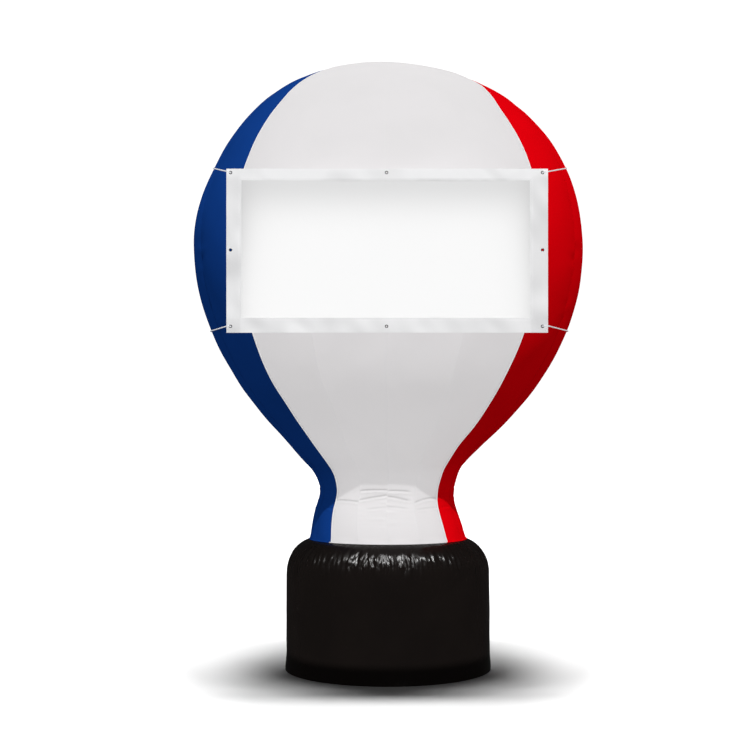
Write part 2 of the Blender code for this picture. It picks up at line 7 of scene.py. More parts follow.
import logging
from collections.abc import Callable
from dataclasses import dataclass, field
from enum import Enum
from math import acos, atan, atan2, cos, hypot, pi, radians, sin, sqrt

import bmesh
import bpy
import numpy as np
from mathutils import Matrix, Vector


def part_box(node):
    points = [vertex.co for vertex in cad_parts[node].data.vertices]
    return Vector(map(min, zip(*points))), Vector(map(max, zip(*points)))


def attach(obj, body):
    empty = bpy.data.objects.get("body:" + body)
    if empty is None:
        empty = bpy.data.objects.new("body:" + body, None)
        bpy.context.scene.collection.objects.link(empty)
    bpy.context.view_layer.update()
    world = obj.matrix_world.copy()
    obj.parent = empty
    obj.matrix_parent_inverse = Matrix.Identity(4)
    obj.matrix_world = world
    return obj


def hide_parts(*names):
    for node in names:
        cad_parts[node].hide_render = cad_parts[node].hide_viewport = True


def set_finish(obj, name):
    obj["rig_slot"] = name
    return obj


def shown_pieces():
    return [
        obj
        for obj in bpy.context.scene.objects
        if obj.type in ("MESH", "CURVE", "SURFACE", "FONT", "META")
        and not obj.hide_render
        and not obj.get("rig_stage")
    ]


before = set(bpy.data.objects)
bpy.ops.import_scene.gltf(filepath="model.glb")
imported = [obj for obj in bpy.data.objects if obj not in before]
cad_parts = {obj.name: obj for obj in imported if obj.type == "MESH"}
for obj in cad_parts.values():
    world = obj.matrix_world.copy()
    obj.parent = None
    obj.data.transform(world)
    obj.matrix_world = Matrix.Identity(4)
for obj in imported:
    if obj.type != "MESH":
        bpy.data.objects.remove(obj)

LOG = logging.getLogger("inflatable")
Array = np.ndarray
Piece = bpy.types.Object
Finish = bpy.types.Material
Socket = bpy.types.NodeSocket
Group = bpy.types.NodeTree
Colour = tuple[float, float, float]
Level = float | Socket
TURN = 2 * pi
BALLOON = "balloon"
ROTOR = "rotor"


def ease(value: Array, low: float, high: float) -> Array:
    """Rise smoothly from 0 at low to 1 at high: three times the share squared less twice its cube.

    Args:
        value: Any array.
        low: Where the rise starts.
        high: Where the rise ends; it may lie below low.

    Returns:
        The eased share, from 0 to 1.
    """
    share = np.clip((value - low) / (high - low), 0.0, 1.0)
    return share * share * (3.0 - 2.0 * share)


def hump(value: Array, width: float | Array) -> Array:
    """A smooth bump of height 1: e to the minus square of value over width."""
    return np.exp(-np.square(value / width))


def unit(vectors: Array) -> Array:
    """Vectors scaled to length 1 along their last axis."""
    return vectors / np.linalg.norm(vectors, axis=-1, keepdims=True)


def together(*parts: Array | float) -> Array:
    """Coordinates spread over each other's shape and joined on a new last axis."""
    return np.stack(np.broadcast_arrays(*parts), axis=-1)


def distance_along(path: Array) -> Array:
    """Distance of each point of a path from its start."""
    return np.concatenate([[0.0], np.cumsum(np.linalg.norm(np.diff(path, axis=0), axis=1))])


def circle(columns: int) -> Array:
    """Angles of a full turn, whose last one closes it."""
    return np.linspace(0.0, TURN, columns + 1)


def waves(across: Array, along: Array, seed: int, lengths: tuple[float, float], count: int = 7) -> Array:
    """Soft unevenness of about unit size.

    The sum of sine waves whose headings, phases and lengths come from a seeded generator,
    divided by the square root of half their number.

    Args:
        across: First coordinate in metres.
        along: Second coordinate in metres.
        seed: Seed of the generator.
        lengths: Shortest and longest wave, in metres.
        count: Number of waves.

    Returns:
        The height of the waves at each point.
    """
    random = np.random.default_rng(seed)
    total = np.zeros(np.broadcast(across, along).shape)
    for _ in range(count):
        length = random.uniform(*lengths)
        heading, phase = random.uniform(0.0, TURN), random.uniform(0.0, TURN)
        total = total + np.sin(TURN * (across * cos(heading) + along * sin(heading)) / length + phase)
    return total / sqrt(count / 2)


def lines(low: float, high: float, step: float) -> Array:
    """Evenly spaced values from low to high, about a step apart."""
    return np.linspace(low, high, max(2, round((high - low) / step) + 1))


def joined_lines(anchors: list[float], step: float) -> Array:
    """Values that pass through every anchor and lie about a step apart between them."""
    runs = [lines(low, high, step)[:-1] for low, high in zip(anchors, anchors[1:])]
    return np.concatenate([*runs, anchors[-1:]])


def cubic(share: Array, start: Array, leave: Array, end: Array, arrive: Array) -> Array:
    """The cubic between two values that leaves the first and reaches the second at given slopes."""
    square, cube = share**2, share**3
    return (
        (2 * cube - 3 * square + 1) * start + (cube - 2 * square + share) * leave
        + (3 * square - 2 * cube) * end + (cube - square) * arrive)


def smooth_values(rows: tuple[tuple[float, ...], ...], at: Array) -> tuple[Array, ...]:
    """Read a table's other columns at values of its first one.

    Between two rows a column is the cubic that leaves each row with the slope of the
    parabola through the row and its two neighbours.

    Args:
        rows: Rows in rising order of their first column.
        at: Values of the first column.

    Returns:
        One array for each of the other columns.
    """
    table = np.array(rows, float)
    knots, values = table[:, 0], table[:, 1:]
    slopes = np.gradient(values, knots, axis=0)
    at = np.clip(at, knots[0], knots[-1])
    cell = np.clip(np.searchsorted(knots, at, side="right") - 1, 0, len(knots) - 2)
    step = (knots[cell + 1] - knots[cell])[..., None]
    share = (at - knots[cell])[..., None] / step
    found = cubic(share, values[cell], step * slopes[cell], values[cell + 1], step * slopes[cell + 1])
    return tuple(np.moveaxis(found, -1, 0))


def smooth_path(points: Array, count: int) -> Array:
    """A smooth path through points.

    Between two points it is the cubic that leaves each along the line that joins the
    point's neighbours, and it is read at even steps of its length.

    Args:
        points: Route, (n, 3).
        count: Number of points on the new path.

    Returns:
        The path, (count, 3).
    """
    padded = np.vstack([2 * points[0] - points[1], points, 2 * points[-1] - points[-2]])
    share = np.linspace(0.0, 1.0, 24, endpoint=False)[None, :, None]
    start, end = padded[1:-2, None], padded[2:-1, None]
    pieces = cubic(share, start, (end - padded[:-3, None]) / 2, end, (padded[3:, None] - start) / 2)
    fine = np.vstack([pieces.reshape(-1, 3), points[-1:]])
    travel = distance_along(fine)
    even = np.linspace(0.0, travel[-1], count)
    return np.stack([np.interp(even, travel, fine[:, axis]) for axis in range(3)], axis=1)


def rounded(corners: list[tuple[float, float]], radius: float, steps: int = 4) -> Array:
    """An open outline whose inner corners are rounded.

    Each corner is replaced by points of the quadratic curve from a radius before it to a
    radius after it, with the corner as its control point.

    Args:
        corners: Outline points.
        radius: Reach of the rounding, at most half of the shorter side.
        steps: Pieces of each rounding.

    Returns:
        The outline, (n, 2).
    """
    places = np.array(corners, float)
    share = np.linspace(0.0, 1.0, steps + 1)[:, None]
    outline = [places[:1]]
    for before, corner, after in zip(places, places[1:], places[2:]):
        reach = min(radius, np.linalg.norm(before - corner) / 2, np.linalg.norm(after - corner) / 2)
        start, end = corner + unit(before - corner) * reach, corner + unit(after - corner) * reach
        outline.append((1 - share) ** 2 * start + 2 * share * (1 - share) * corner + share**2 * end)
    return np.vstack([*outline, places[-1:]])


@dataclass(frozen=True)
class RoundHole:
    """A round hole in a flat grid, with the half size of the square patch around it."""

    across: float
    along: float
    radius: float
    patch: float


def holed_grid(across: Array, along: Array, holes: list[RoundHole], rings: int) -> tuple[Array, Array]:
    """A flat grid of quads with round holes.

    The cells of each hole's square patch are left out, and rings of points lead from the
    square's rim to the circle: each ring point lies between its rim point and the circle's
    point in the same direction from the hole's centre.

    Args:
        across: Column places; a column lies at both sides of each patch.
        along: Row places; a row lies at both ends of each patch.
        holes: The holes.
        rings: Rings of quads in each patch.

    Returns:
        The points (n, 2) and the quads (m, 4), counter-clockwise over (across, along).
    """
    columns, rows = len(across), len(along)
    flat = np.stack(np.meshgrid(across, along), axis=-1).reshape(-1, 2)
    index = np.arange(rows * columns).reshape(rows, columns)
    keep = np.ones((rows - 1, columns - 1), bool)
    points, quads, count = [flat], [], len(flat)
    for hole in holes:
        left, right = (int(np.abs(across - hole.across - side * hole.patch).argmin()) for side in (-1, 1))
        low, high = (int(np.abs(along - hole.along - side * hole.patch).argmin()) for side in (-1, 1))
        keep[low:high, left:right] = False
        loop = np.concatenate([
            index[low, left:right], index[low:high, right],
            index[high, right:left:-1], index[high:low:-1, left]])
        centre = np.array([hole.across, hole.along])
        rim = flat[loop]
        edge = centre + hole.radius * unit(rim - centre)
        share = (np.linspace(0.0, 1.0, rings + 1)[:-1, None, None]) ** 1.4
        points.append((edge + share * (rim - edge)).reshape(-1, 2))
        layers = np.vstack([count + np.arange(rings * len(loop)).reshape(rings, -1), loop])
        count += rings * len(loop)
        turned = np.roll(layers, -1, axis=1)
        quads.append(np.stack([layers[:-1], layers[1:], turned[1:], turned[:-1]], axis=-1).reshape(-1, 4))
    cells = np.stack([index[:-1, :-1], index[:-1, 1:], index[1:, 1:], index[1:, :-1]], axis=-1)
    return np.concatenate(points), np.concatenate([cells[keep], *quads])


@dataclass
class Surface:
    """One piece in the making: its points, quads and surface values, gathered patch by patch.

    A wall gives open cloth its thickness, away from its outer side. Weld merges points that
    lie on each other, and closed also works the facing out again. Sharp is the angle in
    degrees above which an edge stays sharp.
    """

    name: str
    wall: float = 0.0
    weld: bool = False
    closed: bool = False
    sharp: float | None = None
    points: list[Array] = field(default_factory=list)
    quads: list[Array] = field(default_factory=list)
    corners: list[Array] = field(default_factory=list)
    values: dict[str, list[Array]] = field(default_factory=dict)
    count: int = 0

    def patch(self, points: Array, quads: Array, metres: Array, flip: bool = False, **values: Array) -> None:
        """Add a patch.

        Args:
            points: Places, (n, 3).
            quads: Corner numbers, (m, 4).
            metres: Place on the cloth in metres, for each point (n, 2) or each corner (m, 4, 2).
            flip: Turn the faces round.
            values: Named value for each point.
        """
        corners = metres if metres.ndim == 3 else metres[quads]
        if flip:
            quads, corners = quads[:, ::-1], corners[:, ::-1]
        self.points.append(points)
        self.quads.append(quads + self.count)
        self.corners.append(corners)
        for name, value in values.items():
            self.values.setdefault(name, [np.zeros(self.count)]).append(value)
        self.count += len(points)

    def grid(self, points: Array, metres: Array, wrap: bool = False, flip: bool = False,
             **values: Array | float) -> None:
        """Add a grid of rows that run down and columns that run counter-clockwise.

        Args:
            points: Places, (rows, columns, 3).
            metres: Place on the cloth, (rows, columns, 2).
            wrap: The last column lies on the first, and the two are joined.
            flip: Turn the faces round.
            values: Named value for each point, (rows, columns).
        """
        rows, columns = points.shape[:2]
        kept = columns - wrap
        flat = {
            name: np.broadcast_to(value, (rows, columns))[:, :kept].ravel() for name, value in values.items()}
        index = np.arange(rows * kept).reshape(rows, kept)
        if wrap:
            index = np.concatenate([index, index[:, :1]], axis=1)
        quads, corners = (
            np.stack([at[:-1, :-1], at[1:, :-1], at[1:, 1:], at[:-1, 1:]], axis=2) for at in (index, metres))
        points, corners = points[:, :kept].reshape(-1, 3), corners.reshape(-1, 4, 2)
        self.patch(points, quads.reshape(-1, 4), corners, flip, **flat)

    def tube(
            self, path: Array, section: Array, reference: Vector | Array | Colour,
            loop: bool = False) -> None:
        """Carry a closed section along a path.

        At each station the section's first axis is the path's heading crossed with the
        reference, and its second axis is that crossed with the heading.

        Args:
            path: Stations, (n, 3).
            section: Section (m, 2), or one for each station (n, m, 2).
            reference: Direction that stays clear of the path's heading.
            loop: The path is a loop; otherwise both ends are capped.
        """
        if loop:
            heading = unit(np.roll(path, -1, axis=0) - np.roll(path, 1, axis=0))
        else:
            heading = unit(np.gradient(path, axis=0))
        side = unit(np.cross(heading, np.asarray(reference, float)))
        up = np.cross(side, heading)
        section = np.broadcast_to(section, (len(path), *section.shape[-2:]))
        section = np.concatenate([section, section[:, :1]], axis=1)
        points = path[:, None] + section[..., :1] * side[:, None] + section[..., 1:] * up[:, None]
        travel = distance_along(path)
        if loop:
            points = np.concatenate([points, points[:1]])
            travel = np.append(travel, travel[-1] + np.linalg.norm(path[0] - path[-1]))
        else:
            caps = [np.broadcast_to(end[None, None], points[:1].shape) for end in (path[0], path[-1])]
            points = np.concatenate([caps[0], points, caps[1]])
            travel = np.concatenate([travel[:1], travel, travel[-1:]])
        self.grid(points, together(distance_along(section[0])[None, :], travel[:, None]), wrap=True)

    def turn(self, radius: Array, station: Array, centre: Vector, metres: Array | None = None,
             columns: int = 96, **more: Array | bool) -> None:
        """Turn radii and stations about the line through a centre along Y.

        A point is the centre plus the radius times the cosine and sine of its angle in X
        and Z, and its station is world Y.

        Args:
            radius: Radii, (rows, 1) or (rows, columns + 1).
            station: Stations, of the same shape.
            centre: Any point on the axis.
            metres: Place on the cloth; by default the way around and along the outline.
            columns: Columns around.
            more: Flip or named values, for the grid.
        """
        angle = circle(columns)[None, :]
        if metres is None:
            travel = distance_along(np.concatenate([radius, station], axis=1))
            metres = together(angle * radius.max(), travel[:, None])
        points = together(centre.x + radius * np.cos(angle), station, centre.z + radius * np.sin(angle))
        self.grid(points, metres, wrap=True, **more)

    def build(self) -> Piece:
        """Make the piece's object at the origin, smooth shaded but for its sharp edges and open borders."""
        mesh = bpy.data.meshes.new(self.name)
        mesh.from_pydata(np.concatenate(self.points), [], np.concatenate(self.quads))
        layer = mesh.uv_layers.new(name="metres")
        layer.data.foreach_set("uv", np.concatenate(self.corners).astype(np.float32).ravel())
        for name, value in self.values.items():
            whole = np.concatenate(value)
            whole = np.pad(whole, (0, self.count - len(whole))).astype(np.float32)
            mesh.attributes.new(name, "FLOAT", "POINT").data.foreach_set("value", whole)
        if self.weld or self.closed:
            bm = bmesh.new()
            bm.from_mesh(mesh)
            bmesh.ops.remove_doubles(bm, verts=bm.verts, dist=2e-6)
            if self.closed:
                bmesh.ops.recalc_face_normals(bm, faces=bm.faces)
            bm.to_mesh(mesh)
            bm.free()
        mesh.shade_smooth()
        if self.sharp is not None:
            mesh.set_sharp_from_angle(angle=radians(self.sharp))
        elif not self.closed:
            used = np.empty(len(mesh.loops), np.int32)
            mesh.loops.foreach_get("edge_index", used)
            mesh.edges.foreach_set("use_edge_sharp", np.bincount(used, minlength=len(mesh.edges)) == 1)
        piece = bpy.data.objects.new(self.name, mesh)
        bpy.context.scene.collection.objects.link(piece)
        if self.wall:
            wall = piece.modifiers.new("wall", "SOLIDIFY")
            wall.thickness = self.wall
            wall.offset = -1.0
            wall.use_even_offset = False
        return piece


def settle(
        surface: Surface, finish: Finish, slot: str, nodes: tuple[str, ...] = (),
        body: str = BALLOON) -> Piece:
    """Build a piece and give it its material, its body, its slot and the solids it stands for."""
    piece = surface.build()
    piece.data.materials.append(finish)
    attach(piece, body)
    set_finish(piece, slot)
    if nodes:
        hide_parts(*nodes)
    LOG.info("%s: %d faces on %s", piece.name, len(piece.data.polygons), body)
    return piece


def ring_section(radius: float, sides: int) -> Array:
    """A round section as (across, up) points, counter-clockwise."""
    return radius * together(np.cos(circle(sides)[:-1]), np.sin(circle(sides)[:-1]))


class Graph:
    """A node tree with short ways to add nodes."""

    def __init__(self, tree: Group) -> None:
        """Keep the tree."""
        self.tree = tree

    def feed(self, node: bpy.types.Node, sockets: dict) -> bpy.types.Node:
        """Link or set a node's inputs, by name or number; a tuple is a colour without its alpha."""
        for name, value in sockets.items():
            if isinstance(value, Socket):
                self.tree.links.new(value, node.inputs[name])
            else:
                node.inputs[name].default_value = (*value, 1.0) if isinstance(value, tuple) else value
        return node

    def add(self, kind: str, sockets: dict | None = None, **settings: object) -> bpy.types.NodeOutputs:
        """Add a node.

        Args:
            kind: The node's type name after ShaderNode.
            sockets: Value or source socket for each input, by name or number.
            settings: Settings of the node itself.

        Returns:
            The node's outputs.
        """
        node = self.tree.nodes.new("ShaderNode" + kind)
        for name, value in settings.items():
            setattr(node, name, value)
        return self.feed(node, sockets or {}).outputs

    def math(self, operation: str, *values: Level) -> Socket:
        """The result of a math node on one, two or three values."""
        return self.add("Math", dict(enumerate(values)), operation=operation)[0]

    def times(self, first: Level, second: Level, more: Level | None = None) -> Socket:
        """Two values' product, plus a third value where one is given."""
        if more is None:
            return self.math("MULTIPLY", first, second)
        return self.math("MULTIPLY_ADD", first, second, more)

    def apart(self, first: Level, second: Level) -> Socket:
        """How far two values lie apart."""
        return self.math("ABSOLUTE", self.math("SUBTRACT", first, second))

    def blend(self, share: Level, first: Colour | Socket, second: Colour | Socket) -> Socket:
        """A colour between two others."""
        return self.add("Mix", {0: share, 6: first, 7: second}, data_type="RGBA")[2]

    def between(self, value: Socket, low: float, high: float, start: float, end: float) -> Socket:
        """A value carried from the range low to high over to the range start to end."""
        sockets = {0: value, 1: low, 2: high, 3: start, 4: end}
        return self.add("MapRange", sockets, interpolation_type="SMOOTHSTEP")[0]

    def noise(self, vector: Socket, scale: Level, detail: float, distortion: float = 0.0) -> Socket:
        """A noise value around a half."""
        sockets = {"Vector": vector, "Scale": scale, "Detail": detail, "Distortion": distortion}
        return self.add("TexNoise", sockets)["Fac"]

    def parts(self, vector: Socket) -> bpy.types.NodeOutputs:
        """A vector's three parts."""
        return self.add("SeparateXYZ", {0: vector})

    def place(self) -> Socket:
        """The surface's place in the object's own metres."""
        return self.add("TexCoord")["Object"]

    def cloth(self) -> Socket:
        """The surface's place on its cloth, in metres."""
        return self.add("UVMap", uv_map="metres")[0]

    def value(self, name: str) -> Socket:
        """A named value that the mesh carries."""
        return self.add("Attribute", attribute_name=name)["Fac"]

    def group(self, tree: Group, **sockets: Level) -> bpy.types.NodeOutputs:
        """Place a group in this tree; an underscore in a socket's name stands for a space."""
        named = {name.replace("_", " "): value for name, value in sockets.items()}
        return self.add("Group", named, node_tree=tree)


@dataclass(frozen=True)
class Sewing:
    """How a cloth is made: its crinkles' size and height, its thread and its double row of stitches."""

    crinkle_size: float
    crinkle: float
    thread: float
    first_row: float
    row_pitch: float
    stitch: float


class Effects:
    """The shared surface effects, each a node group that is built once."""

    def __init__(self) -> None:
        """Build every group."""
        self.weave = self.make("plain weave", ("Vector", "Thread"), self.weave_outputs)
        self.crinkle = self.make("cloth crinkle", ("Vector", "Size"), self.crinkle_outputs)
        self.stitches = self.make(
            "seam stitches", ("Distance", "Along", "First Row", "Row Pitch", "Stitch", "Thread"),
            self.stitch_outputs)
        self.gathers = self.make("fine gathers", ("Vector", "Size"), self.gather_outputs)
        self.patina = self.make("patina", ("Vector", "Scale"), self.patina_outputs)

    @staticmethod
    def make(
            name: str, inputs: tuple[str, ...],
            outputs: Callable[[Graph, dict], dict[str, Socket]]) -> Group:
        """Build a group.

        Args:
            name: The group's name.
            inputs: Its inputs' names; each is a number, apart from Vector.
            outputs: Adds the nodes to the graph and returns the outputs by name.

        Returns:
            The group's tree.
        """
        tree = bpy.data.node_groups.new(name, "ShaderNodeTree")
        for label in inputs:
            kind = "NodeSocketVector" if label == "Vector" else "NodeSocketFloat"
            tree.interface.new_socket(label, in_out="INPUT", socket_type=kind)
        entry = tree.nodes.new("NodeGroupInput")
        found = outputs(Graph(tree), {label: entry.outputs[label] for label in inputs})
        for label in found:
            tree.interface.new_socket(label, in_out="OUTPUT", socket_type="NodeSocketFloat")
        leave = tree.nodes.new("NodeGroupOutput")
        for label, socket in found.items():
            tree.links.new(socket, leave.inputs[label])
        return tree

    @staticmethod
    def weave_outputs(graph: Graph, given: dict) -> dict[str, Socket]:
        """Plain weave: the product of two sine waves one thread apart, as a height from 0 to 1."""
        step = graph.math("DIVIDE", pi, given["Thread"])
        across, along, _ = graph.parts(given["Vector"])
        warp, weft = (graph.math("SINE", graph.times(part, step)) for part in (across, along))
        return {"Height": graph.times(graph.times(warp, weft), 0.5, 0.5)}

    @staticmethod
    def crinkle_outputs(graph: Graph, given: dict) -> dict[str, Socket]:
        """Fine crinkles of a coated cloth: ridges where a distorted noise passes its middle."""
        scale = graph.math("DIVIDE", 1.0, given["Size"])
        ridge = graph.apart(graph.noise(given["Vector"], scale, 3.0, 0.7), 0.5)
        broad = graph.noise(given["Vector"], graph.times(scale, 0.17), 2.0)
        return {
            "Height": graph.between(ridge, 0.0, 0.16, 1.0, 0.0),
            "Tone": graph.between(broad, 0.3, 0.7, 0.0, 1.0)}

    @staticmethod
    def stitch_outputs(graph: Graph, given: dict) -> dict[str, Socket]:
        """Two rows of stitches beside a seam, as a mask and a height."""
        middle = graph.times(given["Row Pitch"], 0.5, given["First Row"])
        off_row = graph.apart(graph.apart(given["Distance"], middle), graph.times(given["Row Pitch"], 0.5))
        row = graph.math("SUBTRACT", 1.0, graph.math("DIVIDE", off_row, given["Thread"]))
        phase = graph.math("FRACT", graph.math("DIVIDE", given["Along"], given["Stitch"]))
        dash = graph.between(graph.apart(phase, 0.5), 0.34, 0.44, 1.0, 0.0)
        mask = graph.times(graph.math("MAXIMUM", row, 0.0), dash)
        return {"Mask": mask, "Height": graph.math("SQRT", mask)}

    @staticmethod
    def gather_outputs(graph: Graph, given: dict) -> dict[str, Socket]:
        """Fine gathers that run away from a seam: a noise stretched ten times along the second axis."""
        parts = graph.parts(given["Vector"])
        across = graph.math("DIVIDE", parts[0], given["Size"])
        along = graph.math("DIVIDE", parts[1], graph.times(given["Size"], 10.0))
        stretched = graph.add("CombineXYZ", {0: across, 1: along})[0]
        ridge = graph.apart(graph.noise(stretched, 1.0, 1.0, 0.3), 0.5)
        return {"Height": graph.between(ridge, 0.0, 0.22, 0.0, 1.0)}

    @staticmethod
    def patina_outputs(graph: Graph, given: dict) -> dict[str, Socket]:
        """Handling marks and light dust on hard parts: a broad mask and a fine grain."""
        broad = graph.noise(given["Vector"], given["Scale"], 5.0)
        fine = graph.noise(given["Vector"], graph.times(given["Scale"], 40.0), 2.0)
        return {"Mask": graph.between(broad, 0.35, 0.7, 0.0, 1.0), "Grain": fine}

    def sewn(self, graph: Graph, sewing: Sewing, along: Socket) -> tuple[Socket, Socket, Socket]:
        """Lay a sewn cloth's effects.

        Args:
            graph: The material's graph.
            sewing: How the cloth is made.
            along: Distance along the seam.

        Returns:
            The crinkles' tone, the stitches' mask and the height of it all.
        """
        crinkle = graph.group(self.crinkle, Vector=graph.place(), Size=sewing.crinkle_size)
        weave = graph.group(self.weave, Vector=graph.cloth(), Thread=sewing.thread)
        stitches = graph.group(
            self.stitches, Distance=graph.value("seam"), Along=along, First_Row=sewing.first_row,
            Row_Pitch=sewing.row_pitch, Stitch=0.0045, Thread=0.0009)
        height = graph.times(weave["Height"], 0.000010, graph.times(crinkle["Height"], sewing.crinkle))
        height = graph.times(stitches["Height"], sewing.stitch, height)
        return crinkle["Tone"], stitches["Mask"], height


class Coat(Graph):
    """The graph of a new material, which ends in its Principled shader."""

    def __init__(self, name: str) -> None:
        """Start the material."""
        self.material = bpy.data.materials.new(name)
        self.material.use_nodes = True
        super().__init__(self.material.node_tree)

    def finish(self, colour: Socket, rough: Level, height: Socket | None, **levels: float) -> Finish:
        """Feed the shader.

        Args:
            colour: Base colour.
            rough: Roughness.
            height: Height in metres, for the bump, or none.
            levels: The shader's other constants; an underscore stands for a space.

        Returns:
            The material.
        """
        sockets = {"Base Color": colour, "Roughness": rough}
        sockets |= {name.replace("_", " "): value for name, value in levels.items()}
        if height is not None:
            sockets["Normal"] = self.add("Bump", {"Strength": 1.0, "Distance": 1.0, "Height": height})[0]
        self.feed(self.tree.nodes["Principled BSDF"], sockets)
        return self.material


@dataclass(frozen=True)
class NylonFinish:
    """Coated nylon: a satin cloth with fine crinkles, a double row of seam stitches and, where its mesh asks
    for it, painted shade.
    """

    name: str
    colour: Colour
    shade: Colour
    thread_colour: Colour
    roughness: float
    gloss: float
    crinkle: float
    stitch: float = 0.00030
    gather: float = 0.0
    # Strength of the painted shade, which the mesh's mask lays where shade falls.
    crease: float = 0.0

    def build(self, effects: Effects) -> Finish:
        """Make the material; a cloth with gathers takes their strength from its mesh, and the mask of its
        painted shade comes from its mesh too.
        """
        coat = Coat(self.name)
        sewing = Sewing(0.060, self.crinkle, 0.0012, 0.009, 0.006, self.stitch)
        tone, mask, height = effects.sewn(coat, sewing, coat.parts(coat.cloth())[1])
        cloth = coat.blend(tone, self.colour, self.shade)
        # Painted shade: where the mesh's mask asks for it, the colour sinks towards a fifth of itself.
        if self.crease:
            share = coat.times(coat.value("crease"), self.crease)
            cloth = coat.blend(share, cloth, tuple(0.2 * part for part in self.colour))
        if self.gather:
            folds = coat.group(effects.gathers, Vector=coat.cloth(), Size=0.020)
            height = coat.times(folds["Height"], coat.times(coat.value("gather"), self.gather), height)
        rough = coat.between(tone, 0.0, 1.0, self.roughness - 0.04, self.roughness + 0.04)
        colour = coat.blend(mask, cloth, self.thread_colour)
        return coat.finish(colour, rough, height, Specular_IOR_Level=self.gloss)


@dataclass(frozen=True)
class BannerFinish:
    """Banner cloth: a plain bright field with painted shade that greys it softly towards its hem, and a plain
    hem with painted shade of its own.
    """

    name: str = "banner_cloth"
    field: Colour = (0.98, 0.98, 0.98)
    field_edge_shade: Colour = (0.625, 0.625, 0.628)
    hem: Colour = (0.880, 0.880, 0.888)
    hem_shade: Colour = (0.690, 0.690, 0.697)
    thread_colour: Colour = (0.55, 0.55, 0.56)

    def build(self, effects: Effects) -> Finish:
        """Make the material; the mesh carries the share of painted shade as its fade, and the hem."""
        coat = Coat(self.name)
        parts = coat.parts(coat.cloth())
        sewing = Sewing(0.045, 0.00008, 0.0010, 0.003, 0.005, 0.00025)
        tone, mask, height = effects.sewn(coat, sewing, coat.math("ADD", parts[0], parts[1]))
        # Painted shade: the fade greys the field towards its hem, and the hem at its sides, its bottom and
        # its crumples.
        plain = coat.blend(coat.value("fade"), self.field, self.field_edge_shade)
        double = coat.blend(coat.value("fade"), self.hem, self.hem_shade)
        colour = coat.blend(mask, coat.blend(coat.value("hem"), plain, double), self.thread_colour)
        return coat.finish(colour, coat.between(tone, 0.0, 1.0, 0.50, 0.60), height, Specular_IOR_Level=0.3)


@dataclass(frozen=True)
class CordFinish:
    """Braided cord or webbing: slanted strands along the piece's own metres, with painted shade in the
    grooves between them.
    """

    name: str
    colour: Colour
    # Colour of the grooves between strands: the cord's colour with painted shade.
    groove: Colour
    strand: float
    slant: float

    def build(self, effects: Effects) -> Finish:
        """Make the material: two sets of slanted strands cross each other."""
        coat = Coat(self.name)
        parts = coat.parts(coat.cloth())
        lean = coat.times(parts[1], self.slant)
        rise, fall = (
            coat.math("SINE", coat.times(coat.math(way, parts[0], lean), TURN / self.strand))
            for way in ("ADD", "SUBTRACT"))
        strands = coat.times(coat.times(rise, fall), 0.5, 0.5)
        grain = coat.group(effects.patina, Vector=coat.place(), Scale=60.0)["Grain"]
        # Painted shade in the grooves between the strands, broken up by a random grain.
        colour = coat.blend(coat.times(strands, grain), self.groove, self.colour)
        rough = coat.between(strands, 0.0, 1.0, 0.85, 0.65)
        return coat.finish(colour, rough, coat.times(strands, 0.00025), Specular_IOR_Level=0.25)


@dataclass(frozen=True)
class HardFinish:
    """Moulded plastic, coated wire or pressed metal, with a grain and handling marks."""

    name: str
    colour: Colour
    wear_and_crumple_shade: Colour
    roughness: float
    metallic: float
    grain: float
    scale: float = 9.0

    def build(self, effects: Effects) -> Finish:
        """Make the material."""
        coat = Coat(self.name)
        patina = coat.group(effects.patina, Vector=coat.place(), Scale=self.scale)
        colour = coat.blend(patina["Mask"], self.colour, self.wear_and_crumple_shade)
        rough = coat.between(patina["Mask"], 0.0, 1.0, self.roughness - 0.06, self.roughness + 0.10)
        return coat.finish(colour, rough, coat.times(patina["Grain"], self.grain), Metallic=self.metallic)


class Panel(Enum):
    """Colour of a gore."""

    WHITE = "envelope_white"
    RED = "envelope_red"
    BLUE = "envelope_blue"


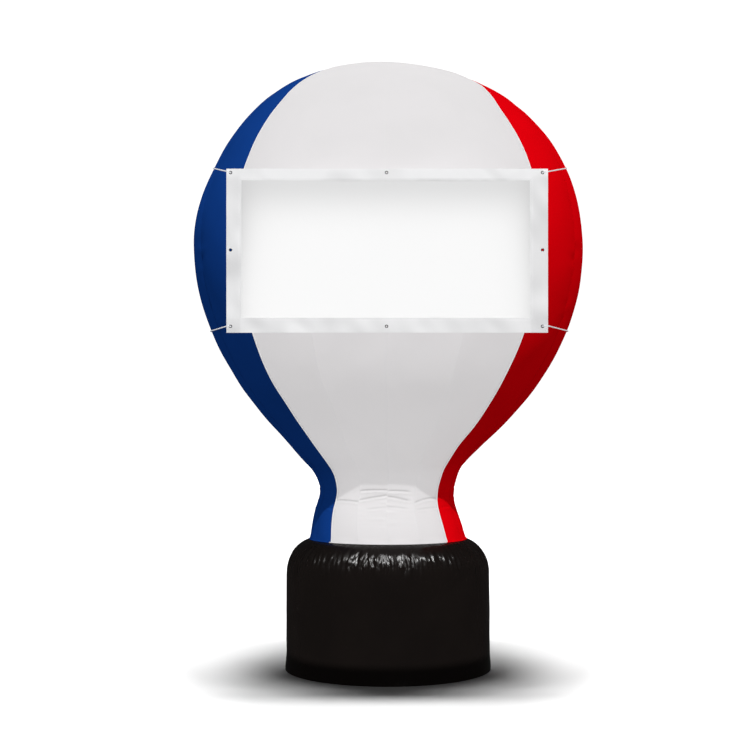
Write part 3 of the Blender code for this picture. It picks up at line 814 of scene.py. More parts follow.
class Finishes:
    """Every finish of the inflatable."""

    def __init__(self) -> None:
        """Build the shared effects and the materials."""
        effects = Effects()
        self.panels = {
            # The white's painted shade lies on the upper sides of the neck folds.
            Panel.WHITE: NylonFinish(
                "nylon_white", (0.800, 0.782, 0.790), (0.785, 0.768, 0.775), (0.780, 0.765, 0.772),
                0.60, 0.05, 0.00006, 0.00005, crease=0.24).build(effects),
            Panel.RED: NylonFinish(
                "nylon_red", (0.725, 0.0004, 0.0039), (0.698, 0.0004, 0.0036), (0.50, 0.001, 0.004),
                0.60, 0.0, 0.00012).build(effects),
            Panel.BLUE: NylonFinish(
                "nylon_blue", (0.0060, 0.0470, 0.2520), (0.0056, 0.0450, 0.2400), (0.004, 0.032, 0.16),
                0.60, 0.0, 0.00012).build(effects),
        }
        # The black's last value is the strength of its painted shade at the drum's foot and over the ground
        # sheet.
        self.black = NylonFinish(
            "nylon_black", (0.0195, 0.0150, 0.0133), (0.0165, 0.0126, 0.0112), (0.030, 0.025, 0.022),
            0.20, 0.07, 0.00012, 0.00004, 0.0003, 0.95).build(effects)
        # Part of the seam tape's extra whiteness is the tape's own, and part is a painted highlight along the
        # colour seams.
        self.tape = NylonFinish(
            "seam_tape", (0.900, 0.895, 0.900), (0.885, 0.880, 0.885), (0.80, 0.80, 0.80),
            0.60, 0.10, 0.00006).build(effects)
        self.banner = BannerFinish().build(effects)
        self.cord, self.webbing = (finish.build(effects) for finish in (
            CordFinish("braided_cord", (0.98, 0.98, 0.99), (0.78, 0.79, 0.82), 0.0028, 0.6),
            CordFinish("webbing", (0.80, 0.80, 0.81), (0.50, 0.50, 0.52), 0.0022, 1.0)))
        self.eyelet, self.plastic, self.rotor, self.wire, self.motor = (
            HardFinish(*values).build(effects) for values in (
                ("eyelet_metal", (0.120, 0.118, 0.120), (0.080, 0.078, 0.076), 0.32, 1.0, 0.00002, 60.0),
                ("moulded_plastic", (0.022, 0.022, 0.024), (0.034, 0.034, 0.036), 0.46, 0.0, 0.00006),
                ("rotor_plastic", (0.050, 0.050, 0.055), (0.075, 0.074, 0.074), 0.42, 0.0, 0.00005),
                ("coated_wire", (0.420, 0.420, 0.430), (0.330, 0.328, 0.326), 0.36, 0.2, 0.00003, 30.0),
                ("motor_paint", (0.075, 0.078, 0.084), (0.110, 0.110, 0.112), 0.50, 0.4, 0.00008)))


@dataclass(frozen=True)
class GoreBlock:
    """A run of like gores: its name, colour, first edge from +X, the span of each and their count."""

    name: str
    panel: Panel
    first_edge: float
    span: float
    count: int = 4


@dataclass(frozen=True)
class Stretch:
    """One stretch of an outline: its length and the angle by which its heading turns."""

    length: float
    turn: float = 0.0

    def go(self, radius: float, height: float, heading: float, part: Array | float) -> tuple:
        """Radius, height and heading after part of the stretch.

        On a straight stretch the point moves by the cosine and sine of the heading. On an
        arc the heading turns evenly, and the point moves by the difference of the headings'
        sines and cosines times the arc's radius.

        Args:
            radius: Radius at its start.
            height: Height at its start.
            heading: Heading at its start.
            part: Distance along it.

        Returns:
            Radius, height and heading.
        """
        angle = heading + self.turn * part / self.length
        if not self.turn:
            return radius + part * cos(heading), height - part * sin(heading), angle
        arc = self.length / self.turn
        out, down = np.sin(angle) - sin(heading), cos(heading) - np.cos(angle)
        return radius + arc * out, height - arc * down, angle


@dataclass(frozen=True)
class Outline:
    """A smooth outline drawn down from a start by arcs and straight stretches.

    The heading is the angle below level, so 0 runs outwards and a right angle runs down.
    """

    radius: float
    height: float
    heading: float
    stretches: tuple[Stretch, ...]

    @property
    def length(self) -> float:
        """Whole length of the outline."""
        return sum(stretch.length for stretch in self.stretches)

    def at(self, travel: Array) -> tuple[Array, Array, Array]:
        """Radius, height and heading at distances from the outline's start."""
        travel = np.asarray(travel, float)
        start, state = 0.0, (self.radius, self.height, self.heading)
        found = [np.full(travel.shape, value) for value in state]
        for stretch in self.stretches:
            here = stretch.go(*state, np.clip(travel - start, 0.0, stretch.length))
            found = [np.where(travel >= start, new, old) for new, old in zip(here, found)]
            start, state = start + stretch.length, stretch.go(*state, stretch.length)
        return tuple(found)

    def end(self) -> tuple[float, ...]:
        """Radius, height and heading at the outline's end."""
        return tuple(float(value) for value in self.at(np.array(self.length)))

    def travel_to(self, height: float) -> float:
        """Distance along the outline at which it comes down to a height."""
        travel = np.linspace(0.0, self.length, 4000)
        return float(np.interp(-height, -self.at(travel)[1], travel))

    def turned(self, travel: Array, azimuth: Array, lift: Array) -> Array:
        """Points of the outline's turned skin.

        A point stands off the outline by its lift, along the outline's outward normal, and
        is turned about Z by its azimuth from +X.

        Args:
            travel: Distance along the outline.
            azimuth: Angle from +X.
            lift: Stand-off.

        Returns:
            The points, with the shape of the arguments and a last axis of 3.
        """
        radius, height, heading = self.at(travel)
        out = radius + lift * np.sin(heading)
        return together(out * np.cos(azimuth), out * np.sin(azimuth), height + lift * np.cos(heading))


# A strip's section: place across in widths, crown, and distance from its edge in widths
STRIP_ACROSS = np.array([-0.5, -0.3, 0.0, 0.3, 0.5, 0.0, -0.5])[None, :]
STRIP_CROWN = np.array([0.0, 0.85, 1.0, 0.85, 0.0, -0.3, 0.0])[None, :]
STRIP_EDGE = np.array([0.0, 0.2, 0.5, 0.2, 0.0, 0.5, 0.0])[None, :]


@dataclass(frozen=True)
class NeckFold:
    """A fold across the foot of a front gore: heights at both seams, rise between, depth and reach."""

    gore: int
    left: float
    right: float
    arch: float
    depth: float
    start: float
    end: float


NECK_FOLDS = (
    NeckFold(0, 1.232, 1.226, 0.004, 0.0030, 0.02, 1.00),
    NeckFold(1, 1.302, 1.308, 0.002, 0.0030, 0.00, 1.00),
    NeckFold(1, 1.238, 1.272, 0.002, 0.0034, 0.00, 1.00),
    NeckFold(1, 1.163, 1.191, 0.005, 0.0012, 0.30, 1.00),
    NeckFold(2, 1.303, 1.292, 0.003, 0.0026, 0.00, 0.78),
    NeckFold(2, 1.265, 1.224, 0.004, 0.0030, 0.00, 0.80),
    NeckFold(2, 1.196, 1.172, 0.004, 0.0012, 0.00, 0.72),
    NeckFold(3, 1.217, 1.243, 0.014, 0.0030, 0.00, 1.00),
    NeckFold(3, 1.170, 1.183, 0.004, 0.0012, 0.10, 1.00),
)

# How the filled envelope sits: height, move towards +X, and widening at its sides, in metres
SITS = (
    (0.940, 0.000, 0.000), (1.030, -0.007, 0.005), (1.170, -0.016, 0.004), (1.310, -0.007, -0.003),
    (1.370, -0.009, -0.002), (1.500, -0.022, -0.006), (1.600, -0.016, -0.002), (1.710, -0.005, 0.006),
    (1.880, 0.002, 0.010), (1.990, 0.006, 0.001), (2.105, 0.008, -0.006), (2.330, 0.010, -0.008),
    (2.610, 0.006, -0.006), (3.010, 0.003, -0.003), (3.240, 0.001, -0.004), (3.400, 0.009, -0.008),
    (3.630, 0.014, -0.011), (3.800, 0.009, -0.006), (3.910, 0.004, -0.001), (3.970, 0.002, 0.004),
    (4.025, -0.005, 0.0085), (4.080, -0.017, 0.008), (4.140, -0.0235, 0.006), (4.195, -0.026, 0.004),
    (4.240, -0.040, -0.004), (4.290, -0.050, -0.006), (4.400, -0.052, -0.006),
)

# How the two front colour seams stray: height, right seam and left seam, in degrees
STRAYS = (
    (0.940, 0.7, 2.0), (1.070, 0.4, 0.8), (1.300, 0.6, 0.6), (1.485, 2.6, 2.7), (1.620, 0.1, 0.9),
    (1.757, 0.3, -0.2), (1.890, -0.3, -0.3), (2.030, -0.6, -1.4), (2.160, -0.6, -1.45), (2.290, -0.5, -1.0),
    (3.030, -0.7, -0.8), (3.500, -1.3, -1.0), (3.670, -2.0, -0.9), (3.790, -2.5, -0.1), (3.850, -2.5, 0.3),
    (3.910, -1.9, 0.9), (3.976, -0.7, 1.2), (4.010, 0.3, 1.3), (4.045, 1.9, 1.8), (4.095, 6.4, 2.5),
    (4.140, 9.7, 2.5), (4.200, 12.0, 1.5), (4.400, 12.0, 1.5),
)


@dataclass
class Envelope:
    """The sewn envelope: sixteen gores, the seams between them and the crown disc."""

    finishes: Finishes
    crown_top: float = 4.370
    crown_radius: float = 0.640
    crown_turn: float = radians(14.6)
    crown_slope: float = 0.280
    upper_radius: float = 1.293
    lower_radius: float = 1.643
    lower_turn: float = radians(41.8)
    cone_length: float = 0.623
    waist_radius: float = 0.300
    flare_angle: float = radians(15.0)
    neck_seam: float = 0.940
    seam_dip: float = 0.0085
    white_dip: float = 0.30
    flatness: float = 0.80
    crest: float = 0.0015
    cloth: float = 0.0012
    stitches_off: float = 0.060
    white_tape: tuple[float, float] = (0.016, 0.0024)
    colour_tape: tuple[float, float] = (0.011, 0.0015)
    columns: int = 14
    bulb_step: float = 0.0160
    neck_step: float = 0.0030
    rear_step: float = 0.0058
    neck_reach: float = 0.560
    right_seam: float = radians(-44.0)
    left_seam: float = radians(-136.0)
    blocks: tuple[GoreBlock, ...] = (
        GoreBlock("front", Panel.WHITE, radians(-136.0), radians(23.0)),
        GoreBlock("right", Panel.RED, radians(-44.0), radians(22.0)),
        GoreBlock("rear", Panel.WHITE, radians(44.0), radians(23.0)),
        GoreBlock("left", Panel.BLUE, radians(136.0), radians(22.0)),
    )

    def __post_init__(self) -> None:
        """Work out the outline, whose last stretch ends at the neck seam."""
        waist = self.lower_turn + self.flare_angle
        stretches = (
            Stretch(self.crown_radius * self.crown_turn, self.crown_turn),
            Stretch(self.crown_slope),
            Stretch(self.upper_radius * (pi / 2 - self.crown_turn), pi / 2 - self.crown_turn),
            Stretch(self.lower_radius * self.lower_turn, self.lower_turn),
            Stretch(self.cone_length),
            Stretch(self.waist_radius * waist, -waist))
        foot = Outline(0.0, self.crown_top, 0.0, stretches).end()[1]
        flare = Stretch((foot - self.neck_seam) / cos(self.flare_angle))
        self.outline = Outline(0.0, self.crown_top, 0.0, (*stretches, flare))
        self.crown_edge = stretches[0].length

    def rows(self, neck_step: float) -> Array:
        """Row distances of a gore: coarse over the bulb and fine over the neck."""
        turn = self.outline.length - self.neck_reach
        bulb = lines(self.crown_edge - 0.020, turn, self.bulb_step)[:-1]
        return np.concatenate([bulb, lines(turn, self.outline.length, neck_step)])[:, None]

    def stray(self, azimuth: Array, height: Array) -> Array:
        """Azimuths on the cloth, moved by how far the nearest front colour seam strays from its meridian.

        A seam's stray fades out over a right angle to both sides of it.
        """
        moved = azimuth
        for seam, amount in zip((self.right_seam, self.left_seam), smooth_values(STRAYS, height)):
            off = np.abs((azimuth - seam + pi) % TURN - pi)
            moved = moved + np.radians(amount) * ease(off, radians(86.0), 0.0)
        return moved

    def sit(self, points: Array) -> Array:
        """Points moved aside and apart by how the filled envelope sits at their height."""
        aside, wider = smooth_values(SITS, points[..., 2])
        reach = points[..., 0] / np.maximum(np.hypot(points[..., 0], points[..., 1]), 0.2)
        return points + together(aside + wider * reach, 0.0, 0.0)

    def calm(self, travel: Array, height: Array) -> Array:
        """Share of the full relief: none under the crown disc and little at the neck seam."""
        crown = ease(travel, self.crown_edge, self.crown_edge + 0.10)
        return crown * (0.15 + 0.85 * ease(height, self.neck_seam, self.neck_seam + 0.05))

    def bulge(self, share: Array, radius: Array, soft: tuple[float, ...] = (1.0, 1.0)) -> Array:
        """Lift of a gore between its seams: it dips by a share of its radius at each seam.

        Args:
            share: Place across the gore.
            radius: Radius of the outline.
            soft: How much of the full dip the first and the last seam have.

        Returns:
            The lift.
        """
        dip = np.where(share < 0.5, *soft) * (self.seam_dip + self.crest)
        return radius * (self.crest - dip * np.square(2 * share - 1))

    @staticmethod
    def neck_folds(block: GoreBlock, index: int) -> list[NeckFold]:
        """The folds of a gore: a front gore's are listed, and the others' come from a seeded generator."""
        if block.name == "front":
            return [fold for fold in NECK_FOLDS if fold.gore == index]
        random = np.random.default_rng(40 + 10 * len(block.name) + index)
        chosen = []
        for level in (1.300, 1.240, 1.175):
            left, right = level + random.uniform(-0.018, 0.018, 2)
            chosen.append(NeckFold(
                index, left, right, random.uniform(-0.004, 0.008), random.uniform(0.0015, 0.0036),
                random.uniform(0.0, 0.2), random.uniform(0.75, 1.0)))
        return chosen

    def folds(self, share: Array, height: Array, block: GoreBlock, index: int) -> tuple[Array, Array]:
        """Grooves across the foot of a gore, as a lift and as the mask of the painted shade on their upper
        sides.

        Each fold is a groove along a line that runs from its height at one seam to its
        height at the other and rises between them as a parabola.
        """
        total = crease = np.zeros(np.broadcast(share, height).shape)
        for fold in self.neck_folds(block, index):
            line = fold.left + (fold.right - fold.left) * share + fold.arch * 4 * share * (1 - share)
            reach = ease(share, fold.start - 0.08, fold.start + 0.10)
            reach = reach * ease(share, fold.end + 0.08, fold.end - 0.10)
            groove = 0.5 * hump(height - line + 0.015, 0.008) - hump(height - line, 0.0075)
            total = total + 1.4 * fold.depth * groove * reach
            # Painted shade: a mask just above each fold line, as strong as the fold is deep.
            crease = np.maximum(crease, hump(height - line - 0.003, 0.0060) * reach * fold.depth / 0.0030)
        return total, crease

    @staticmethod
    def puckers(distance: Array, travel: Array, height: Array, away: float, seed: int) -> Array:
        """Short wrinkles that run out from a seam.

        Waves along the seam, faded by e to the minus distance over a reach that itself
        varies along the seam. They start from nothing on the seam line itself.

        Args:
            distance: Distance from the seam.
            travel: Distance along the outline.
            height: Height above the floor.
            away: Angle of the seam from the front.
            seed: Seed of the waves.

        Returns:
            The lift of the wrinkles.
        """
        bulb = waves(0 * travel, travel, seed, (0.060, 0.150), 9)
        neck = waves(0 * travel, travel, seed + 1, (0.026, 0.050), 9)
        slow = 0.5 + 0.5 * np.sin(TURN * travel / 0.41 + seed)
        side = hump(away - radians(68.0), radians(14.0)) * hump(height - 2.86, 0.34)
        high = 0.0002 + 0.0030 * side * slow
        low = 0.0003 + 0.0012 * hump(away, radians(8.0))
        low = low * ease(height, 1.34, 1.26) * ease(height, 1.02, 1.12)
        fade = np.exp(-distance / (0.030 + 0.035 * slow)) * (1 - np.exp(-distance / 0.010))
        return fade * (high * bulb * ease(height, 1.30, 1.44) + low * neck) * 1.4

    def gore(self, block: GoreBlock, index: int) -> Surface:
        """One gore as a cloth panel.

        Args:
            block: Its block.
            index: Its place in the block.

        Returns:
            The piece in the making.
        """
        travel = self.rows(self.neck_step if block.name == "front" else self.rear_step)
        share = (0.5 - 0.5 * np.cos(pi * np.linspace(0.0, 1.0, self.columns + 1)))[None, :]
        radius, height, _ = self.outline.at(travel)
        width = radius * block.span
        seed = 100 * (self.blocks.index(block) + 1) + 10 * index
        plain = [block.panel is Panel.WHITE and 0 < index + side < block.count for side in (0, 1)]
        folds, crease = self.folds(share, height, block, index)
        lift = self.bulge(share, radius, tuple(self.white_dip if inner else 1.0 for inner in plain)) + folds
        for side, distance in enumerate((share * width, (1 - share) * width)):
            edge = block.first_edge + block.span * (index + side)
            away = abs((edge + pi / 2 + pi) % TURN - pi)
            lift = lift + self.puckers(distance, travel, height, away, seed + 3 * (side + 1))
        still = 4 * share * (1 - share)
        lift = lift + 0.0010 * still * waves(share * width, travel, seed, (0.25, 0.70))
        if block.name == "front":
            sagitta = radius * (1 - cos(block.span / 2))
            lift = lift - self.flatness * sagitta * still * ease(height, 2.75, 2.20)
        azimuth = self.stray(block.first_edge + block.span * (index + share), height)
        points = self.sit(self.outline.turned(travel, azimuth, lift * self.calm(travel, height)))
        off = self.stitches_off
        seam = np.minimum(share * width + off * plain[0], (1 - share) * width + off * plain[1])
        surface = Surface(f"skin_{block.name}_{index + 1}", self.cloth)
        # The folds' painted shade mask goes onto the gore's mesh.
        surface.grid(points, together(share * width, travel), seam=seam, crease=crease)
        return surface

    def tape(self, surface: Surface, azimuth: float, width: float, rise: float) -> None:
        """Add one seam tape: a flat crowned strip that follows the seam's dip.

        Args:
            surface: Surface that takes the strip.
            azimuth: The seam's angle from +X.
            width: Width of the strip.
            rise: Height of its crown above the seam.
        """
        travel = self.rows(self.neck_step)[::2]
        radius, height, _ = self.outline.at(travel)
        across = STRIP_ACROSS * width
        dip = self.bulge(np.abs(across) / (radius * radians(22.5)), radius) * self.calm(travel, height)
        turned = self.stray(np.array(azimuth), height) + across / radius
        points = self.sit(self.outline.turned(travel, turned, dip + rise * STRIP_CROWN))
        surface.grid(points, together(across, travel), wrap=True, seam=STRIP_EDGE * width + 0.006)

    def tapes(self, panel: Panel) -> Surface:
        """The tapes of one colour: white ones between two colours, and each colour's own inside its block."""
        surface = Surface(f"seam_tapes_{panel.name.lower()}")
        white = panel is Panel.WHITE
        for block in self.blocks:
            seams = range(1) if white else range(1, block.count) if block.panel is panel else ()
            for number in seams:
                azimuth = block.first_edge + block.span * number
                self.tape(surface, azimuth, *(self.white_tape if white else self.colour_tape))
        return surface

    def crown(self) -> Surface:
        """The crown disc, a domed patch sewn over the tips of the gores."""
        travel = np.concatenate([[1e-5], lines(0.006, self.crown_edge + 0.012, 0.006)])[:, None]
        azimuth = circle(96)[None, :]
        ripple = 0.0006 * waves(np.cos(azimuth) * travel, np.sin(azimuth) * travel, 17, (0.03, 0.12))
        points = self.sit(self.outline.turned(travel, azimuth, 0.0026 + ripple * ease(travel, 0.0, 0.05)))
        surface = Surface("crown_patch", self.cloth, weld=True)
        metres = together(azimuth * self.crown_edge, travel)
        surface.grid(points, metres, wrap=True, seam=np.abs(travel[-1] - travel))
        return surface

    def welt(self, panel: Panel) -> Surface:
        """The welt around the neck seam, in the colour of the gores above it."""
        radius = self.outline.end()[0] + 0.0010
        surface = Surface(f"neck_welt_{panel.name.lower()}", closed=True)
        for block in self.blocks:
            if block.panel is panel:
                angle = block.first_edge + np.linspace(0.0, block.span * block.count, 64)
                path = together(radius * np.cos(angle), radius * np.sin(angle), self.neck_seam + 0.0012)
                surface.tube(path, ring_section(0.0040, 10), (0.0, 0.0, 1.0))
        return surface

    def build(self) -> None:
        """Make the gores, their tapes and the crown."""
        panels = self.finishes.panels
        for block in self.blocks:
            for index in range(block.count):
                node = f"gore_{block.name}_{index + 1}"
                settle(self.gore(block, index), panels[block.panel], block.panel.value, (node,))
        for panel in Panel:
            finish = self.finishes.tape if panel is Panel.WHITE else panels[panel]
            settle(self.tapes(panel), finish, panel.value)
        settle(self.crown(), panels[Panel.WHITE], Panel.WHITE.value, ("crown_disc",))
        for panel in Panel:
            settle(self.welt(panel), panels[panel], panel.value)

    def skin(self, height: float) -> tuple[float, float, float]:
        """Radius of the dressed skin's crest line at a height, and its normal's outward and upward parts."""
        radius, _, heading = (float(value) for value in self.outline.at(self.outline.travel_to(height)))
        return radius * (1 + self.crest), sin(heading), cos(heading)


@dataclass
class Drum:
    """The black drum: a gathered lid, a side with the blower's opening, and a ground sheet."""

    finishes: Finishes
    shoulder_radius: float = 0.250
    shoulder_start: float = radians(20.0)
    ledge_start: float = 0.5548
    ledge_length: float = 0.014
    neck_seam: float = 0.940
    lid_seam: float = 0.800
    flare_top: float = 0.115
    flare_bend: float = 0.060
    foot_radius: float = 0.742
    foot_height: float = 0.030
    foot_bend: float = 0.012
    cloth: float = 0.0014
    front_step: float = 0.0046
    rear_step: float = 0.0075
    sleeve_patch: float = 0.250
    # Height of the painted shade at the foot of the side.
    foot_shade_height: float = 0.125
    gather_reach: float = 0.095
    gather_depth: float = 0.0064
    gather_pitch: float = 0.031

    def __post_init__(self) -> None:
        """Work out the outlines of the lid and of the side."""
        fall = self.neck_seam - self.lid_seam
        seam = acos(cos(self.shoulder_start) - fall / self.shoulder_radius)
        turn, rest = seam - self.shoulder_start, pi / 2 - seam
        self.ledge = Outline(self.ledge_start, self.neck_seam, 0.0, (Stretch(self.ledge_length),))
        self.lid_outline = Outline(
            self.ledge_start + self.ledge_length, self.neck_seam, self.shoulder_start,
            (Stretch(self.shoulder_radius * turn, turn),))
        radius, height, _ = self.lid_outline.end()
        shoulder = Stretch(self.shoulder_radius * rest, rest)
        self.radius, top, _ = Outline(radius, height, seam, (shoulder,)).end()
        flare = atan((self.foot_radius - self.radius) / (self.flare_top - self.foot_height))
        half_bend = self.flare_bend / 2
        self.side_outline = Outline(radius, height, seam, (
            shoulder, Stretch(top - self.flare_top - half_bend), Stretch(self.flare_bend, -flare),
            Stretch(self.flare_top - half_bend - self.foot_height), Stretch(self.foot_bend, flare),
            Stretch(self.foot_height - self.foot_bend - 0.002)))
        self.girth = TURN * self.radius

    def gathers(self, around: Array, beyond: Array, seed: int, reach: float, depth: float) -> Array:
        """Gathered cloth beside a seam.

        Each gather is a valley whose centre leans away from its place on the seam, widens
        with its distance and fades over its own length. Its depth at a point is e to the
        minus square of the sideways distance over its width.

        Args:
            around: Distance around the drum.
            beyond: Distance from the seam.
            seed: Seed of the places.
            reach: Mean length of a gather.
            depth: Mean depth.

        Returns:
            The lift, mostly negative.
        """
        random = np.random.default_rng(seed)
        steps = random.uniform(0.45, 1.55, round(self.girth / self.gather_pitch))
        total = np.zeros(np.broadcast(around, beyond).shape)
        for place in np.cumsum(steps) * self.girth / steps.sum():
            lean = random.normal(0.0, 0.17)
            length = reach * random.uniform(0.7, 1.4)
            width = random.uniform(0.0090, 0.0150)
            widen = random.uniform(0.02, 0.10)
            deep = depth * random.uniform(0.4, 1.3)
            off = (around - place - lean * beyond + self.girth / 2) % self.girth - self.girth / 2
            total = total - deep * hump(beyond, length) * hump(off, width + widen * beyond)
        return total

    def lid_lift(self, around: Array, travel: Array) -> Array:
        """Lift of the lid: it swells between its seams and is gathered at the lower one."""
        length = self.lid_outline.length
        up = length - travel
        inner = self.gathers(around, travel, 31, 0.030, 0.0020)
        outer = self.gathers(around, up, 23, self.gather_reach, self.gather_depth)
        puff = 0.0012 * waves(around, 0.6 * travel, 29, (0.05, 0.14)) * ease(up, 0.13, 0.02)
        swell = 0.0020 * np.sin(pi * travel / length)
        return (outer + swell + (inner + puff) * ease(up, 0.0, 0.050)) * ease(travel, 0.0, 0.012)

    def side_lift(self, around: Array, travel: Array) -> Array:
        """Lift of the side: gathers under the lid's seam and at the foot, broad soft folds between."""
        left = self.side_outline.length - travel
        top = self.gathers(around, travel, 23, self.gather_reach, self.gather_depth)
        foot = self.gathers(around, left, 57, 0.050, 0.0030)
        soft = 0.0020 * waves(around, 0.35 * travel, 61, (0.30, 0.80))
        fine = 0.0006 * waves(around, 0.5 * travel, 67, (0.08, 0.22))
        return (top + (foot + soft + fine) * ease(travel, 0.0, 0.140)) * ease(left, 0.0, 0.030)

    @staticmethod
    def collar_pull(east: Array, north: Array, hole: float) -> Array:
        """Radial gathers of the back wall around the blower's sleeve, from places off its middle."""
        angle = np.arctan2(north, east)
        rays = np.sin(23 * angle + 1.3 * np.sin(3 * angle)) + 0.6 * np.sin(37 * angle + 2.0)
        return 0.0018 * rays * np.exp(-np.abs(np.hypot(east, north) - hole) / 0.050)

    def across(self, half: str, first: float) -> Array:
        """Column places around one half, in metres; the rear ones pass both sides of the sleeve's patch."""
        start, end = first * self.radius, (first + pi) * self.radius
        if half == "front":
            return lines(start, end, self.front_step)
        middle = (start + end) / 2
        marks = [start, middle - self.sleeve_patch, middle + self.sleeve_patch, end]
        return joined_lines(marks, self.rear_step)

    def lid(self, half: str, first: float) -> Surface:
        """One half of the lid, with the ledge under the neck seam."""
        around = self.across(half, first)[None, :]
        azimuth = around / self.radius
        travel = lines(0.0, self.lid_outline.length, 0.0050)[:, None]
        ledge = lines(0.0, self.ledge_length, 0.007)[:-1, None]
        points = np.concatenate([
            self.ledge.turned(ledge, azimuth, 0.0),
            self.lid_outline.turned(travel, azimuth, self.lid_lift(around, travel))])
        run = np.concatenate([ledge - self.ledge_length, travel])
        left = self.lid_outline.length - run
        gather = 0.25 * ease(run, 0.060, 0.005) + ease(left, 0.150, 0.060) * ease(left, -0.002, 0.018)
        surface = Surface(f"drum_top_{half}", self.cloth)
        surface.grid(points, together(around, run), seam=left, gather=gather * ease(run, -0.001, 0.010))
        return surface

    def side(self, half: str, first: float) -> Surface:
        """One half of the side, with painted shade that deepens towards its foot; the rear one has the
        sleeve's opening.
        """
        middle, length = (first + pi / 2) * self.radius, self.side_outline.length
        holes, rows = [], [0.060, length]
        if half == "rear":
            low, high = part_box("blower_sleeve")
            level, hole = (low.z + high.z) / 2, (high.x - low.x) / 2
            place = self.side_outline.travel_to(level)
            holes = [RoundHole(middle, place, hole, self.sleeve_patch)]
            rows = [rows[0], place - self.sleeve_patch, place + self.sleeve_patch, length]
        along = np.concatenate([lines(0.0, rows[0], 0.0060)[:-1], joined_lines(rows, 0.0120)])
        flat, quads = holed_grid(self.across(half, first), along, holes, 9)
        around, travel = flat[:, 0], flat[:, 1]
        lift = self.side_lift(around, travel)
        if holes:
            lift = lift + self.collar_pull(around - middle, self.side_outline.at(travel)[1] - level, hole)
        points = self.side_outline.turned(travel, around / self.radius, lift)
        gather = 0.6 * ease(travel, 0.050, 0.010) * ease(travel, -0.002, 0.012)
        gather = gather + 0.5 * ease(length - travel, 0.090, 0.010)
        # Painted shade: the lowest part of the side sinks towards black at its foot.
        foot_shade = ease(length - travel, self.foot_shade_height + 0.030, self.foot_shade_height - 0.040)
        surface = Surface(f"drum_wall_{half}", self.cloth)
        surface.patch(points, quads, flat, flip=True, seam=travel, gather=gather, crease=foot_shade)
        return surface

    @staticmethod
    def ground_sheet() -> Surface:
        """The round ground sheet: a closed disc with a soft rim, under painted shade all over."""
        radius, _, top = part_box("drum_floor")[1]
        rim = rounded([(0.0, top), (radius - 0.001, top), (radius - 0.001, 0.0), (0.0, 0.0)], 0.004)
        angle, out = circle(192)[None, :], rim[:, :1].clip(1e-6)
        east, north = out * np.cos(angle), out * np.sin(angle)
        surface = Surface("ground_sheet", closed=True, sharp=50.0)
        points, metres = together(east, north, rim[:, 1:]), together(east, north)
        # Painted shade over the whole sheet.
        surface.grid(points, metres, wrap=True, seam=radius - out, crease=1.0)
        return surface

    def seams(self) -> Surface:
        """The two upright seams at the drum's sides."""
        surface = Surface("drum_seams")
        across = STRIP_ACROSS * 0.014
        for azimuth in (0.0, pi):
            middle = np.array([[azimuth * self.radius]])
            for outline, lift in ((self.lid_outline, self.lid_lift), (self.side_outline, self.side_lift)):
                travel = lines(0.001, outline.length - 0.001, 0.0050)[:, None]
                raised = lift(middle, travel) + STRIP_CROWN * 0.0020
                points = outline.turned(travel, (middle + across) / self.radius, raised)
                surface.grid(points, together(across, travel), wrap=True, seam=0.010)
        return surface

    def build(self) -> None:
        """Make the drum's pieces."""
        slot, black = "drum_black", self.finishes.black
        for half, first in (("front", -pi), ("rear", 0.0)):
            settle(self.lid(half, first), black, slot, (f"drum_lid_{half}",))
            settle(self.side(half, first), black, slot, (f"drum_side_{half}",))
        settle(self.seams(), black, slot)
        settle(self.ground_sheet(), black, slot, ("drum_floor",))


CORNERS = ("top_left", "top_right", "bottom_left", "bottom_right")


